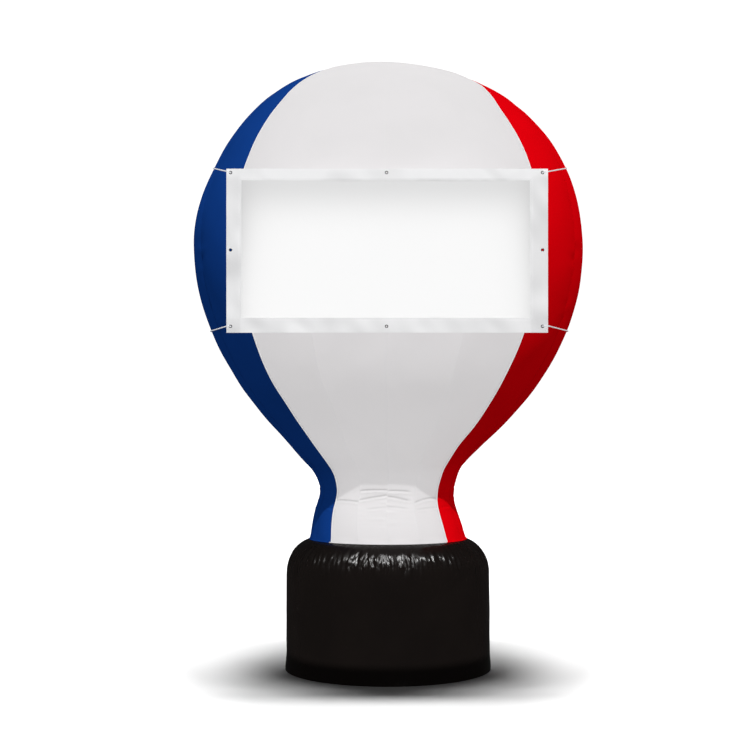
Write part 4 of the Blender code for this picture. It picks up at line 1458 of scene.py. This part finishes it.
@dataclass
class Banner:
    """The blank banner with its hem and eyelets."""

    finishes: Finishes
    hem_left: float = 0.093
    hem_right: float = 0.112
    hem_top: float = 0.071
    hem_bottom: float = 0.093
    hem_rise: float = 0.0009
    hem_step: float = 0.0011
    edge: float = 0.0025
    cloth: float = 0.0016
    step: float = 0.0120
    hole_radius: float = 0.0066
    eyelet_patch: float = 0.018
    aside: Vector = field(default_factory=lambda: Vector((0.005, 0.0, 0.0)))
    eyelets: tuple[str, ...] = (
        "top_left", "top_middle", "top_right", "middle_left", "middle_right",
        "bottom_left", "bottom_middle", "bottom_right")

    def __post_init__(self) -> None:
        """Read the banner's box and the eyelets' places from the frame."""
        self.low, self.high = (corner - self.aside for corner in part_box("banner"))
        self.front = self.low.y + 0.0009
        self.places = {
            name: sum(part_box("eyelet_" + name), Vector()) / 2 - 1.8 * self.aside for name in self.eyelets}

    def inside(self, x: Array, z: Array) -> tuple[Array, ...]:
        """Distances of a point inside the left, right, bottom and top hem lines, and the least of them."""
        sides = (
            x - self.low.x - self.hem_left, self.high.x - self.hem_right - x,
            z - self.low.z - self.hem_bottom, self.high.z - self.hem_top - z)
        return *sides, np.minimum.reduce(sides)

    def relief(self, x: Array, z: Array) -> Array:
        """How far the banner's front stands towards the viewer.

        The hem stands up by its second layer, with slanted wrinkles of its own. The whole
        sheet waves gently, and folds run out from each eyelet. Close to an eyelet it is flat.
        """
        hem = ease(self.inside(x, z)[-1], 0.0010, -0.0010)
        slanted = waves(x + 0.5 * z, 0.45 * z, 71, (0.035, 0.110), 11)
        broad = waves(x, z, 73, (0.14, 0.36), 7)
        low_side = 0.6 + 0.6 * ease(x, -0.6, 0.9) * ease(z, 3.30, 2.60)
        folds = hem * low_side * (0.00050 * slanted + 0.0016 * broad)
        folds = folds + 0.0016 * waves(x, z, 79, (0.55, 1.30), 6)
        near = np.ones(x.shape)
        for number, place in enumerate(self.places.values()):
            away = np.hypot(x - place.x, z - place.z)
            angle = np.arctan2(z - place.z, x - place.x)
            near = near * (1 - hump(away, 0.026))
            pull = np.cos(9 * angle + number) * np.exp(-away / 0.075) * ease(away, 0.012, 0.035)
            folds = folds + 0.0009 * pull
        edge = np.minimum.reduce((x - self.low.x, self.high.x - x, z - self.low.z, self.high.z - z))
        return hem * self.hem_rise + near * folds - 0.0010 * hump(edge, 0.0022)

    def fade(self, x: Array, z: Array) -> Array:
        """Share of painted shade: it greys the field over a hand's width from the hem, and the hem at its
        sides, its bottom and its crumples.
        """
        left, right, bottom, top, depth = self.inside(x, z)
        # Painted shade that greys the field near its sides and top.
        lower = ease(z, self.high.z - 0.05, self.low.z + 0.10)
        sides = 0.85 * np.exp(-left / (0.085 - 0.035 * lower)) * (1 - 0.55 * lower)
        sides = sides + 0.75 * np.exp(-right / (0.085 - 0.02 * lower)) * (1 - 0.40 * lower)
        upper = 0.64 * hump(np.clip(top, 0.0, None), 0.180)
        inner = 1 - (1 - np.clip(sides, 0, 1)) * (1 - upper)
        # Painted shade of the hem's crumples.
        wear_and_crumple_shade = 0.13 * waves(x + 0.5 * z, 0.45 * z, 71, (0.09, 0.34), 11)
        wear_and_crumple_shade = wear_and_crumple_shade + 0.16 * waves(x, z, 73, (0.14, 0.50), 9)
        # Painted shade of the side and bottom hems.
        hem = sum(
            share * ease(side, 0.0, -0.02) for share, side in ((0.54, left), (0.60, right), (0.40, bottom)))
        hem = np.minimum(hem, 0.66) * ease(top, -0.06, 0.01) + wear_and_crumple_shade
        return np.clip(np.where(depth > 0, inner, hem), 0.0, 1.0)

    def sheet(self) -> Surface:
        """The banner's cloth, with a round hole at each eyelet."""
        places = self.places.values()
        holes = [RoundHole(place.x, place.z, self.hole_radius, self.eyelet_patch) for place in places]
        hem_x = [self.low.x + self.hem_left, self.high.x - self.hem_right]
        hem_z = [self.low.z + self.hem_bottom, self.high.z - self.hem_top]
        across = self.anchors(self.low.x, self.high.x, [place.x for place in places], hem_x)
        along = self.anchors(self.low.z, self.high.z, [place.z for place in places], hem_z)
        flat, quads = holed_grid(across, along, holes, 4)
        x, z = flat[:, 0], flat[:, 1]
        depth = self.inside(x, z)[-1]
        points = together(x, self.front - self.relief(x, z), z)
        surface = Surface("banner_sheet", self.cloth)
        # The fade carries the banner's painted shade.
        surface.patch(
            points, quads, flat - (self.low.x, self.low.z), seam=-depth,
            hem=ease(depth, 0.0010, -0.0010), fade=self.fade(x, z))
        return surface

    def anchors(self, low: float, high: float, places: list[float], hems: list[float]) -> Array:
        """Grid lines through the edges, the hem's steps and both sides of each eyelet."""
        marks = {low, low + self.edge, high - self.edge, high}
        marks |= {round(place + side * self.eyelet_patch, 6) for place in places for side in (-1, 1)}
        marks |= {hem + side * self.hem_step for hem in hems for side in (-1, 1)}
        return joined_lines(sorted(marks), self.step)

    def eyelet(self, name: str, place: Vector) -> Surface:
        """A pressed eyelet: a rolled flange, a washer at the back and a barrel."""
        front, back = self.front - self.hem_rise, self.front + self.cloth
        angle = circle(16)
        roll = together(0.0082 + 0.0023 * np.cos(angle), front - 0.0004 - 0.0010 * np.sin(angle))
        washer = together(0.0085 + 0.0022 * np.cos(angle), back + 0.0004 - 0.0006 * np.sin(angle))
        low, high = front - 0.0006, back + 0.0006
        barrel = np.array([(0.0058, low), (0.0065, low), (0.0065, high), (0.0058, high), (0.0058, low)])
        surface = Surface("eyelet_ring_" + name, closed=True, sharp=50.0)
        for outline in (roll, washer, barrel):
            surface.turn(outline[:, :1], outline[:, 1:], place, columns=32)
        return surface

    def build(self) -> None:
        """Make the banner and its eyelets."""
        sheet = settle(self.sheet(), self.finishes.banner, "banner_cloth", ("banner",))
        rings = [
            settle(self.eyelet(name, place), self.finishes.eyelet, "eyelet_metal", ("eyelet_" + name,))
            for name, place in self.places.items()]


@dataclass
class Ties:
    """The taut corner ties, with their knots and sewn loops."""

    finishes: Finishes
    envelope: Envelope
    banner: Banner
    radius: float = 0.0040
    lay: float = 0.032
    rise_top: float = 0.210
    rise_bottom: float = 0.050
    loop_azimuth: float = radians(123.0)
    tail: float = 0.030
    webbing: float = 0.025
    loop_radius: float = 0.0168
    loop_foot: float = 0.016
    loop_wall: float = 0.0018

    def on_skin(self, azimuth: float, height: float, stand_off: float, side: float) -> Array:
        """A point off the skin's crest line; the azimuth runs from the front towards the tie's side."""
        radius, out, up = self.envelope.skin(height)
        reach = radius + out * stand_off
        return self.envelope.sit(np.array(
            [side * reach * sin(azimuth), -reach * cos(azimuth), height + up * stand_off]))

    def route(self, x: float, z: float, rise: float, side: float) -> Array:
        """A tie's route: through the eyelet, over the hem's edge and round the bulb.

        It runs straight to where it meets the skin, and follows the skin to its loop, where
        it is level.

        Args:
            x: The eyelet's distance from the middle plane.
            z: The eyelet's height.
            rise: Height gained for each metre.
            side: 1 towards +X and -1 towards -X.

        Returns:
            The points of the route.
        """
        front = self.banner.front - self.banner.hem_rise
        edge = self.banner.high.x
        stand_off = self.radius + 0.0008
        reach, height = hypot(x, front), z
        for _ in range(8):
            radius = self.envelope.skin(height)[0] + stand_off
            height = z + rise * sqrt(reach * reach - radius * radius)
        meet = atan2(x, -front) + acos(radius / reach)
        over = front - 0.0020 - self.radius
        near = np.array([
            (x + 0.0010, front + 0.0120, z), (x + 0.0012, front + 0.0030, z),
            (x + 0.0022, front - 0.0030, z), (x + 0.0100, over - 0.0010, z + rise * 0.010),
            (edge - self.radius, over + 0.0008, z + rise * 0.020),
            (edge + 0.0035, front - 0.0032, z + rise * 0.030),
            (edge + 0.0062, front + 0.0060, z + rise * 0.040)])
        points = list(near * (side, 1.0, 1.0))
        start, contact = points[-1], self.on_skin(meet, height, stand_off, side)
        points += [start + share * (contact - start) for share in (0.04, 0.25, 0.5, 0.75, 0.94)]
        for share in np.linspace(0.0, 1.0, 13):
            swing = (self.loop_azimuth + self.tail - meet) * share
            travel = swing * radius * (1 - share * share / 3)
            points.append(self.on_skin(meet + swing, height + rise * travel, stand_off, side))
        return np.array(points)

    def cord(self, surface: Surface, path: Array, reference: Array, thick: float = 1.0) -> None:
        """Add a length of cord: its section is a circle with three lobes that wind along it.

        Args:
            surface: Surface that takes it.
            path: Its stations.
            reference: Direction that stays clear of its heading.
            thick: Share of the cord's thickness.
        """
        angle, travel = circle(12)[None, :-1], distance_along(path)[:, None]
        radius = self.radius * (0.94 + 0.06 * np.cos(3 * (angle - TURN * travel / self.lay)))
        surface.tube(path, together(radius * np.cos(angle), radius * np.sin(angle)) * thick, reference)

    def knot(self, surface: Surface, centre: Array, axis: Array) -> None:
        """Add a stopper knot: about one and a half close turns of cord around the cord.

        The turn's angle grows evenly and its centre moves along the axis. Its radius is
        nearly twice the cord's, and falls to it at both ends, where it dives under itself.
        """
        share = np.linspace(0.0, 1.0, 44)[:, None]
        angle = TURN * 1.6 * share
        axis = unit(axis)
        side = unit(np.cross(axis, (0.12, 0.31, 0.94)))
        up = np.cross(axis, side)
        radius = self.radius * (1.9 - 0.9 * hump(share, 0.12) - 0.9 * hump(share - 1.0, 0.12))
        path = centre + axis * (share - 0.5) * self.radius * 3.6
        self.cord(surface, path + radius * (np.cos(angle) * side + np.sin(angle) * up), axis + 0.001, 0.92)

    def loop(self, name: str, height: float, side: float) -> Surface:
        """A sewn webbing loop: two feet on the skin and an arch over the tie.

        The strap's middle line runs along one foot, up a quarter circle's blend, over a half
        circle and down to the other foot; its section is a flat rounded strip.

        Args:
            name: The tie's corner.
            height: Height at which the tie passes.
            side: 1 towards +X and -1 towards -X.

        Returns:
            The piece in the making.
        """
        azimuth = self.loop_azimuth
        _, out_r, out_z = self.envelope.skin(height)
        base = self.on_skin(azimuth, height, self.loop_wall / 2 + 0.0003, side)
        out = np.array([side * out_r * sin(azimuth), -out_r * cos(azimuth), out_z])
        along = np.array([side * cos(azimuth), sin(azimuth), 0.0])
        angle = np.linspace(pi, 0.0, 25)
        arch = self.loop_radius * together(np.cos(angle), np.sin(angle))
        reach = self.loop_radius + self.loop_foot
        feet = np.array([[-reach, 0.0], [-reach + 0.005, 0.0], [-self.loop_radius - 0.003, 0.0]])
        route = np.vstack([feet, arch[2:-2], feet[::-1] * (-1, 1)])
        path = smooth_path(base + route[:, :1] * np.cross(along, out) + route[:, 1:] * out, 72)
        half, thin = self.webbing / 2, self.loop_wall / 2
        section = np.array([
            (thin, half - 0.0006), (0.0, half), (-thin, half - 0.0006),
            (-thin, 0.0006 - half), (0.0, -half), (thin, 0.0006 - half)])
        surface = Surface("tie_webbing_" + name, closed=True, sharp=45.0)
        surface.tube(path, section, along)
        return surface

    def build(self) -> None:
        """Make the four ties and their loops."""
        for name in CORNERS:
            place = self.banner.places[name]
            side = 1.0 if place.x > 0 else -1.0
            rise = self.rise_top if name.startswith("top") else self.rise_bottom
            route = self.route(abs(place.x), place.z, rise, side)
            path = smooth_path(route, 340)
            azimuth = np.arctan2(side * path[:, 0], -path[:, 1])
            passing = path[int(np.abs(azimuth - self.loop_azimuth).argmin())]
            surface = Surface("tie_cord_" + name, closed=True)
            self.cord(surface, path, np.array([0.0, 0.12, 1.0]))
            self.knot(surface, route[0] + (0.0, 0.003, 0.0), np.array([0.02 * side, 1.0, 0.05]))
            last = unit(path[-1] - path[-6])
            self.knot(surface, path[-1] + last * 0.004, last)
            settle(surface, self.finishes.cord, "tie_cord", ("tie_" + name,))
            loop = self.loop(name, passing[2], side)
            settle(loop, self.finishes.webbing, "tie_webbing", ("tie_loop_" + name,))


@dataclass
class Blower:
    """The blower at the back: its sleeve, duct, motor, rotor, guard and power inlet."""

    finishes: Finishes
    drum: Drum
    flange_screws: int = 8
    blades: int = 5
    blade_root: float = 0.040
    blade_tip: float = 0.168
    hub: float = 0.045
    hub_length: float = 0.050
    shaft: float = 0.0080
    ring_pitch: float = 0.0130
    wire: float = 0.0016
    spokes: int = 8
    guard_dome: float = 0.0065
    sleeve_gap: float = 0.0103
    channel: float = 0.014
    duct_wall: float = 0.010
    inlet_face: float = 0.0125
    inlet_softness: float = 0.28
    inlet_azimuth: float = radians(63.75)
    pole: float = 0.0002

    def __post_init__(self) -> None:
        """Read the blower's stations and radii from the frame."""
        self.sleeve_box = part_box("blower_sleeve")
        self.duct_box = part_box("blower_duct")
        self.motor_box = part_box("blower_motor")
        self.guard_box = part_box("blower_guard")
        self.axis = (self.sleeve_box[0] + self.sleeve_box[1]) / 2
        self.sleeve_radius, self.flange_radius, self.motor_radius = (
            (high.x - low.x) / 2 for low, high in (self.sleeve_box, self.duct_box, self.motor_box))
        self.duct_radius = self.sleeve_radius - self.sleeve_gap

    def around(self, radius: Array | float, station: Array | float, angle: Array) -> Array:
        """Points at radii and angles about the blower's axis, at stations along it."""
        return together(
            self.axis.x + radius * np.cos(angle), station, self.axis.z + radius * np.sin(angle))

    def sleeve(self) -> Surface:
        """The cloth sleeve around the duct.

        It leaves the round wall at its own root line, where it flares, and its radius is
        puckered by waves around it. A channel with a drawn cord holds its outer end.
        """
        columns = 180
        angle, share = circle(columns)[None, :], np.linspace(0.0, 1.0, 26)[:, None]
        root = np.sqrt(self.drum.radius**2 - np.square(self.sleeve_radius * np.cos(angle))) - 0.002
        end = self.sleeve_box[1].y - 0.0005
        station = root + (end - root) * share
        pucker = 0.0022 * np.sin(31 * angle + 2.0 * np.sin(4 * angle)) + 0.0012 * np.sin(47 * angle + 1.0)
        channel = 0.0042 * hump(station - (end - self.channel), 0.0055)
        pinch = -0.0016 * hump(station - (end - 0.026), 0.0040) - 0.0016 * hump(station - end, 0.0030)
        radius = self.sleeve_radius + 0.0012 + 0.0110 * np.exp(-share / 0.07) + channel + pinch
        radius = radius + pucker * (0.35 + 0.65 * ease(share, 0.0, 0.35)) * ease(share, 1.15, 0.7)
        surface = Surface("blower_sock", self.drum.cloth)
        metres = together(angle * self.sleeve_radius, station)
        seam = (end - station) - self.channel
        surface.turn(radius, station, self.axis, metres, columns, flip=True, seam=seam)
        return surface

    def duct(self) -> Surface:
        """The duct: a moulded barrel with a rolled mouth, a flange and three struts."""
        face, outer_face, start = self.sleeve_box[1].y + 0.0003, self.duct_box[1].y, self.duct_box[0].y
        inner = self.duct_radius - self.duct_wall
        outline = rounded([
            (inner, start + 0.02), (inner, outer_face), (self.flange_radius, outer_face),
            (self.flange_radius, face), (self.duct_radius, face), (self.duct_radius, start),
            (inner, start), (inner, start + 0.02)], 0.0035)
        surface = Surface("fan_duct", closed=True, sharp=40.0)
        surface.turn(outline[:, :1], outline[:, 1:], self.axis, columns=128)
        section = together(0.0055 * np.cos(circle(16)[:-1]), 0.0100 * np.sin(circle(16)[:-1]))
        reach = np.linspace(self.motor_radius - 0.003, inner + 0.003, 8)
        for angle in pi / 2 + circle(3)[:-1]:
            surface.tube(self.around(reach, self.sleeve_box[0].y - 0.010, angle), section, (0.0, 1.0, 0.0))
        return surface

    def screws(self) -> Surface:
        """Low domed screws around the flange, each a turned cap with a blank head."""
        face = self.duct_box[1].y
        radius = (self.flange_radius + self.guard_box[1].x) / 2 - self.pole
        surface = Surface("flange_screws", weld=True, sharp=60.0)
        cap = rounded([(0.0001, face + 0.0030), (0.0036, face + 0.0022), (0.0038, face - 0.0003)], 0.0010)
        for number in range(self.flange_screws):
            angle = TURN * (number + 0.5) / self.flange_screws
            centre = Vector((radius * cos(angle), 0.0, self.axis.z + radius * sin(angle)))
            surface.turn(cap[:, :1], cap[:, 1:], centre, columns=14)
        return surface

    def motor(self) -> Surface:
        """The motor: a ribbed casing with rounded ends.

        Its radius is cut by a rib wave, the sixth power of a cosine around it, over the
        middle of its length.
        """
        start, end, radius, columns = self.motor_box[0].y, self.motor_box[1].y, self.motor_radius, 192
        outline = rounded([
            (self.pole, end - 0.001), (radius * 0.6, end), (radius, end - 0.006),
            (radius, start + 0.006), (radius * 0.8, start), (self.pole, start)], 0.006, 6)
        angle, station = circle(columns)[None, :], outline[:, 1:]
        middle = ease(station, start + 0.010, start + 0.016) * ease(station, end - 0.010, end - 0.016)
        ribbed = outline[:, :1] - 0.0035 * middle * (1 - np.abs(np.cos(16 * angle)) ** 6)
        surface = Surface("fan_motor", closed=True, sharp=50.0)
        surface.turn(ribbed, station, self.axis, together(angle * radius, station), columns)
        return surface

    def rotor(self) -> Surface:
        """The rotor: a domed hub with five twisted blades.

        A blade's section is a thin cambered aerofoil. Its chord grows and its pitch falls
        from the root to the tip.
        """
        low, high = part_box("blower_rotor")
        front, back = high.y, high.y - self.hub_length
        dome = rounded([
            (self.pole, front), (self.hub * 0.55, front - 0.001), (self.hub, front - 0.016), (self.hub, back),
            (self.shaft, back), (self.shaft, low.y), (self.pole, low.y)], 0.010, 6)
        surface = Surface("fan_rotor", closed=True, sharp=50.0)
        surface.turn(dome[:, :1], dome[:, 1:], self.axis, columns=72)
        reach = np.linspace(self.blade_root, self.blade_tip, 26)[:, None]
        share = (reach - self.blade_root) / (self.blade_tip - self.blade_root)
        chord = 0.058 + 0.022 * np.sin(pi * np.clip(share, 0.0, 0.62) / 1.24)
        chord = chord * (1 - 0.55 * ease(share, 0.94, 1.02))
        pitch = radians(38.0) - radians(16.0) * share
        turn = circle(28)[None, :]
        along = 0.5 * np.cos(turn) * chord
        camber = 0.09 * chord * (1 - np.square(2 * along / chord))
        thick = 0.0022 * np.sin(turn) * (1.1 - 0.5 * share) + camber - 0.045 * chord
        tangent = along * np.cos(pitch) + thick * np.sin(pitch) - 0.012 * share
        station = (front + back) / 2 - along * np.sin(pitch) + thick * np.cos(pitch)
        metres = together(turn * 0.01, reach)
        metres = np.concatenate([metres[:1], metres, metres[-1:]])
        for angle in circle(self.blades)[:-1]:
            points = together(
                self.axis.x + reach * cos(angle) - tangent * sin(angle), station,
                self.axis.z + reach * sin(angle) + tangent * cos(angle))
            caps = [np.broadcast_to(points[end, :-1].mean(axis=0), points[:1].shape) for end in (0, -1)]
            surface.grid(np.concatenate([caps[0], points, caps[1]]), metres, wrap=True)
        return surface

    def guard(self) -> Surface:
        """The finger guard: wire rings on spokes, gently domed, with a blank disc at its centre.

        A ring's station rises from the rim to the centre as a parabola of its radius.
        """
        low, high = self.guard_box
        rim, base = high.x - self.wire - 0.0004, (low.y + high.y) / 2
        top = base + self.guard_dome
        surface = Surface("finger_guard", closed=True, sharp=50.0)
        for radius in np.append(np.arange(0.034, rim - 0.006, self.ring_pitch), rim):
            path = self.around(radius, top - self.guard_dome * (radius / rim) ** 2, circle(96)[:-1])
            thick = self.wire if radius < rim else self.wire * 1.5
            surface.tube(path, ring_section(thick, 8), (0.0, 1.0, 0.0), loop=True)
        reach = np.linspace(0.020, rim, 14)
        station = top - self.guard_dome * np.square(reach / rim) - 1.6 * self.wire
        section = ring_section(self.wire * 1.15, 8)
        for angle in circle(self.spokes)[:-1]:
            surface.tube(self.around(reach, station, angle), section, (0.0, 1.0, 0.0))
        disc = rounded([
            (self.pole, top + 0.0020), (0.026, top + 0.0014), (0.026, top - 0.0016),
            (self.pole, top - 0.0016)], 0.0012)
        surface.turn(disc[:, :1], disc[:, 1:], self.axis, columns=48)
        return surface

    def inlet(self) -> Surface:
        """The power inlet: a soft box on the wall with a round recessed socket and three pins.

        The box is a superellipsoid: the cosines and sines of its two angles, each raised
        to a small power with its sign kept. The socket and the pins are outlines of (reach,
        radius) points, turned about lines that point out of the wall.
        """
        run, rise = cos(self.inlet_azimuth), sin(self.inlet_azimuth)
        axes = np.array([(run, rise, 0.0), (-rise, run, 0.0), (0.0, 0.0, 1.0)])
        centre = np.array(sum(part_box("power_inlet"), Vector()) / 2)
        surface, face = Surface("inlet_box", closed=True, sharp=50.0), self.inlet_face
        north, east = np.linspace(-pi / 2, pi / 2, 33)[:, None], circle(64)[None, :]
        c_north, s_north, c_east, s_east = (
            np.sign(wave) * np.abs(wave) ** self.inlet_softness
            for wave in (np.cos(north), np.sin(north), np.cos(east), np.sin(east)))
        for shift, deep, wide, tall in ((0.0, face, 0.035, 0.025), (-0.0100, 0.0022, 0.041, 0.031)):
            local = together(shift + deep * c_north * c_east, wide * c_north * s_east, tall * s_north)
            surface.grid(centre + local @ axes, 0.03 * together(east, north), wrap=True)
        socket = rounded([
            (0.0185, face - 0.001), (0.0185, face + 0.0030), (0.0150, face + 0.0030),
            (0.0150, face - 0.0050), (self.pole, face - 0.0050)], 0.0008)
        pin = rounded([(0.0022, face - 0.0055), (0.0022, face + 0.0012), (self.pole, face + 0.0018)], 0.0008)
        pins = [0.0075 * np.array([0.0, cos(turn), sin(turn)]) for turn in (pi / 2, pi * 7 / 6, -pi / 6)]
        stubs = [(socket, np.zeros(3), 40), *((pin, place, 14) for place in pins)]
        for outline, place, columns in stubs:
            angle = circle(columns)[None, :]
            local = place + together(
                outline[:, 1:], outline[:, :1] * np.cos(angle), outline[:, :1] * np.sin(angle))
            surface.grid(centre + local @ axes, together(angle * 0.01, outline[:, 1:]), wrap=True)
        return surface

    def build(self) -> None:
        """Make the blower's pieces."""
        finishes = self.finishes
        settle(self.sleeve(), finishes.black, "drum_black", ("blower_sleeve",))
        settle(self.duct(), finishes.plastic, "blower_plastic", ("blower_duct",))
        settle(self.screws(), finishes.wire, "guard_steel")
        settle(self.motor(), finishes.motor, "motor_metal", ("blower_motor",))
        settle(self.rotor(), finishes.rotor, "rotor_plastic", ("blower_rotor",), ROTOR)
        settle(self.guard(), finishes.wire, "guard_steel", ("blower_guard",))
        settle(self.inlet(), finishes.plastic, "blower_plastic", ("power_inlet",))
        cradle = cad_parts["blower_cradle"]
        cradle.data.materials.clear()
        cradle.data.materials.append(finishes.plastic)
        LOG.info("blower_cradle keeps its solid")


class Lit(Enum):
    """What a lamp shines on."""

    WHITES = "whites"
    COLOURS = "colours"
    DRUM = "drum"
    FLOOR = "floor"


@dataclass(frozen=True)
class Lamp:
    """A distant lamp: where it stands, its strength, its width in degrees and what it shines on."""

    name: str
    towards: tuple[float, float, float]
    strength: float
    width: float
    lit: Lit


@dataclass
class Studio:
    """A white studio: the camera, the floor, a soft dome of light and the lamps."""

    focal: float = 64.8
    distance: float = 9.797
    eye_height: float = 1.717
    shift_x: float = -13.0 / 750.0
    shift_y: float = 56.0 / 750.0
    key_elevation: float = radians(50.6)
    key_width: float = 0.53
    keys: tuple[tuple[str, float, float, Lit], ...] = (
        ("key_white", radians(1.2), 1.08, Lit.WHITES), ("key_colours", radians(8.0), 2.42, Lit.COLOURS))
    dome_peak: float = 0.600
    dome_elevation: float = radians(5.0)
    dome_spread: float = radians(47.0)
    gloss_share: float = 0.04
    backdrop: float = 1.1
    lamps: tuple[Lamp, ...] = (
        Lamp("white_low", (0.0, -0.50, -0.87), 1.06, 60.0, Lit.WHITES),
        Lamp("white_front", (0.0, -0.94, 0.34), 0.26, 60.0, Lit.WHITES),
        Lamp("white_right", (0.95, -0.25, 0.17), 0.60, 60.0, Lit.WHITES),
        Lamp("white_left", (-0.95, -0.25, 0.17), 0.60, 60.0, Lit.WHITES),
        Lamp("white_back", (0.0, 0.50, 0.87), 1.00, 60.0, Lit.WHITES),
        Lamp("drum_high", (0.02, -0.39, 0.92), 2.5, 18.0, Lit.DRUM),
        Lamp("drum_middle", (0.02, -0.55, 0.83), 3.4, 18.0, Lit.DRUM),
        Lamp("drum_low", (0.02, -0.66, 0.75), 1.9, 18.0, Lit.DRUM),
        Lamp("drum_right", (0.47, -0.34, 0.81), 4.4, 12.0, Lit.DRUM),
        Lamp("drum_left", (-0.47, -0.34, 0.81), 4.4, 12.0, Lit.DRUM),
        Lamp("floor_right", (0.100, -0.078, 1.0), 13.3, 11.0, Lit.FLOOR),
        Lamp("floor_left", (-0.100, -0.078, 1.0), 13.3, 11.0, Lit.FLOOR),
        Lamp("floor_behind", (0.0, 0.309, 1.0), 14.0, 20.0, Lit.FLOOR),
    )

    def camera(self) -> None:
        """The camera stands level in front of the object at eye height."""
        data = bpy.data.cameras.new("camera")
        data.lens = self.focal
        data.sensor_width = 36.0
        data.shift_x, data.shift_y = self.shift_x, self.shift_y
        data.clip_end = 400.0
        camera = bpy.data.objects.new("camera", data)
        camera.location = (0.0, -self.distance, self.eye_height)
        camera.rotation_euler = (pi / 2, 0.0, 0.0)
        bpy.context.scene.collection.objects.link(camera)
        bpy.context.scene.camera = camera

    def key_lamps(self) -> list[Lamp]:
        """The key lamps, all at one elevation, each to the right of the camera by its azimuth."""
        level, up = cos(self.key_elevation), sin(self.key_elevation)
        return [
            Lamp(name, (level * sin(azimuth), -level * cos(azimuth), up), strength, self.key_width, lit)
            for name, azimuth, strength, lit in self.keys]

    @staticmethod
    def place(lamp: Lamp, lit: list[Piece], passed: list[Piece]) -> None:
        """Set one lamp up.

        Args:
            lamp: The lamp.
            lit: Pieces it shines on.
            passed: Pieces that cast no shadow in its light.
        """
        data = bpy.data.lights.new(lamp.name, "SUN")
        data.energy = lamp.strength
        data.angle = radians(lamp.width)
        light = bpy.data.objects.new(lamp.name, data)
        light.visible_diffuse = lamp.lit is not Lit.DRUM
        light.rotation_mode = "QUATERNION"
        light.rotation_quaternion = (-Vector(lamp.towards)).to_track_quat("-Z", "Y")
        bpy.context.scene.collection.objects.link(light)
        for label, pieces, state in (("lit", lit, "INCLUDE"), ("passed", passed, "EXCLUDE")):
            collection = bpy.data.collections.new(f"{lamp.name}_{label}")
            for piece in pieces:
                collection.objects.link(piece)
            for entry in collection.collection_objects:
                entry.light_linking.link_state = state
            if label == "lit":
                light.light_linking.receiver_collection = collection
            elif pieces:
                light.light_linking.blocker_collection = collection

    @staticmethod
    def floor() -> Piece:
        """The plain pale floor: a wide sheet of quads."""
        half = np.linspace(-60.0, 60.0, 13)
        x, y = np.meshgrid(half, half)
        surface = Surface("floor")
        surface.grid(together(x, y, -0.0005), together(x, y), flip=True)
        floor = surface.build()
        coat = Coat("pale_floor")
        mottle = coat.noise(coat.place(), 0.8, 3.0)
        colour = coat.blend(mottle, (0.118, 0.118, 0.118), (0.122, 0.122, 0.122))
        floor.data.materials.append(coat.finish(colour, 0.9, None, Specular_IOR_Level=0.0))
        floor.visible_diffuse = False
        floor.visible_glossy = False
        floor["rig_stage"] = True
        return floor

    def dome(self) -> None:
        """The surroundings: white to the eye, and a soft belt of light around the object.

        The belt's strength is e to the minus square of the elevation's distance from its
        middle over its spread. Reflections see only a share of it.
        """
        world = bpy.data.worlds.new("studio")
        world.use_nodes = True
        bpy.context.scene.world = world
        graph = Graph(world.node_tree)
        graph.tree.nodes.clear()
        up = graph.parts(graph.add("TexCoord")["Generated"])[2]
        off = graph.math("SUBTRACT", graph.math("ARCSINE", up), self.dome_elevation)
        share = graph.times(off, 1.0 / self.dome_spread)
        fall = graph.times(graph.times(share, share), -1.0)
        path = graph.add("LightPath")
        calm = graph.times(path["Is Glossy Ray"], self.gloss_share - 1.0, 1.0)
        strength = graph.times(graph.times(graph.math("EXPONENT", fall), self.dome_peak), calm)
        soft, white = (
            graph.add("Background", {"Color": (1.0, 1.0, 1.0), "Strength": level})[0]
            for level in (strength, self.backdrop))
        either = graph.add("MixShader", {0: path["Is Camera Ray"], 1: soft, 2: white})
        graph.add("OutputWorld", {"Surface": either[0]})

    def build(self) -> None:
        """Set the studio up around the pieces that are there."""
        self.camera()
        self.dome()
        floor = self.floor()
        view = bpy.context.scene.view_settings
        view.view_transform, view.look = "Standard", "None"
        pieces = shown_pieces()
        flat = [piece for piece in pieces if piece.name.startswith(("banner", "eyelet", "tie"))]
        slots = {Lit.WHITES: ("envelope_white", "banner_cloth", "tie_cord"), Lit.DRUM: ("drum_black",)}
        lit = {
            share: [piece for piece in pieces if piece.get("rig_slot") in names]
            for share, names in slots.items()}
        others = [piece for piece in pieces if piece not in lit[Lit.DRUM]]
        lit[Lit.COLOURS] = [piece for piece in others if piece not in lit[Lit.WHITES]]
        lit[Lit.FLOOR] = [floor]
        passed = {Lit.FLOOR: [], Lit.DRUM: others}
        for lamp in (*self.key_lamps(), *self.lamps):
            self.place(lamp, lit[lamp.lit], passed.get(lamp.lit, [floor, *flat]))


def main() -> None:
    """Build every sub-assembly in order."""
    logging.basicConfig(level=logging.INFO, format="%(message)s")
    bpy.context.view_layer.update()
    finishes = Finishes()
    envelope, drum, banner = Envelope(finishes), Drum(finishes), Banner(finishes)
    ties, blower = Ties(finishes, envelope, banner), Blower(finishes, drum)
    for assembly in (envelope, drum, ties, banner, blower, Studio()):
        assembly.build()


if __name__ == "__main__":
    main()
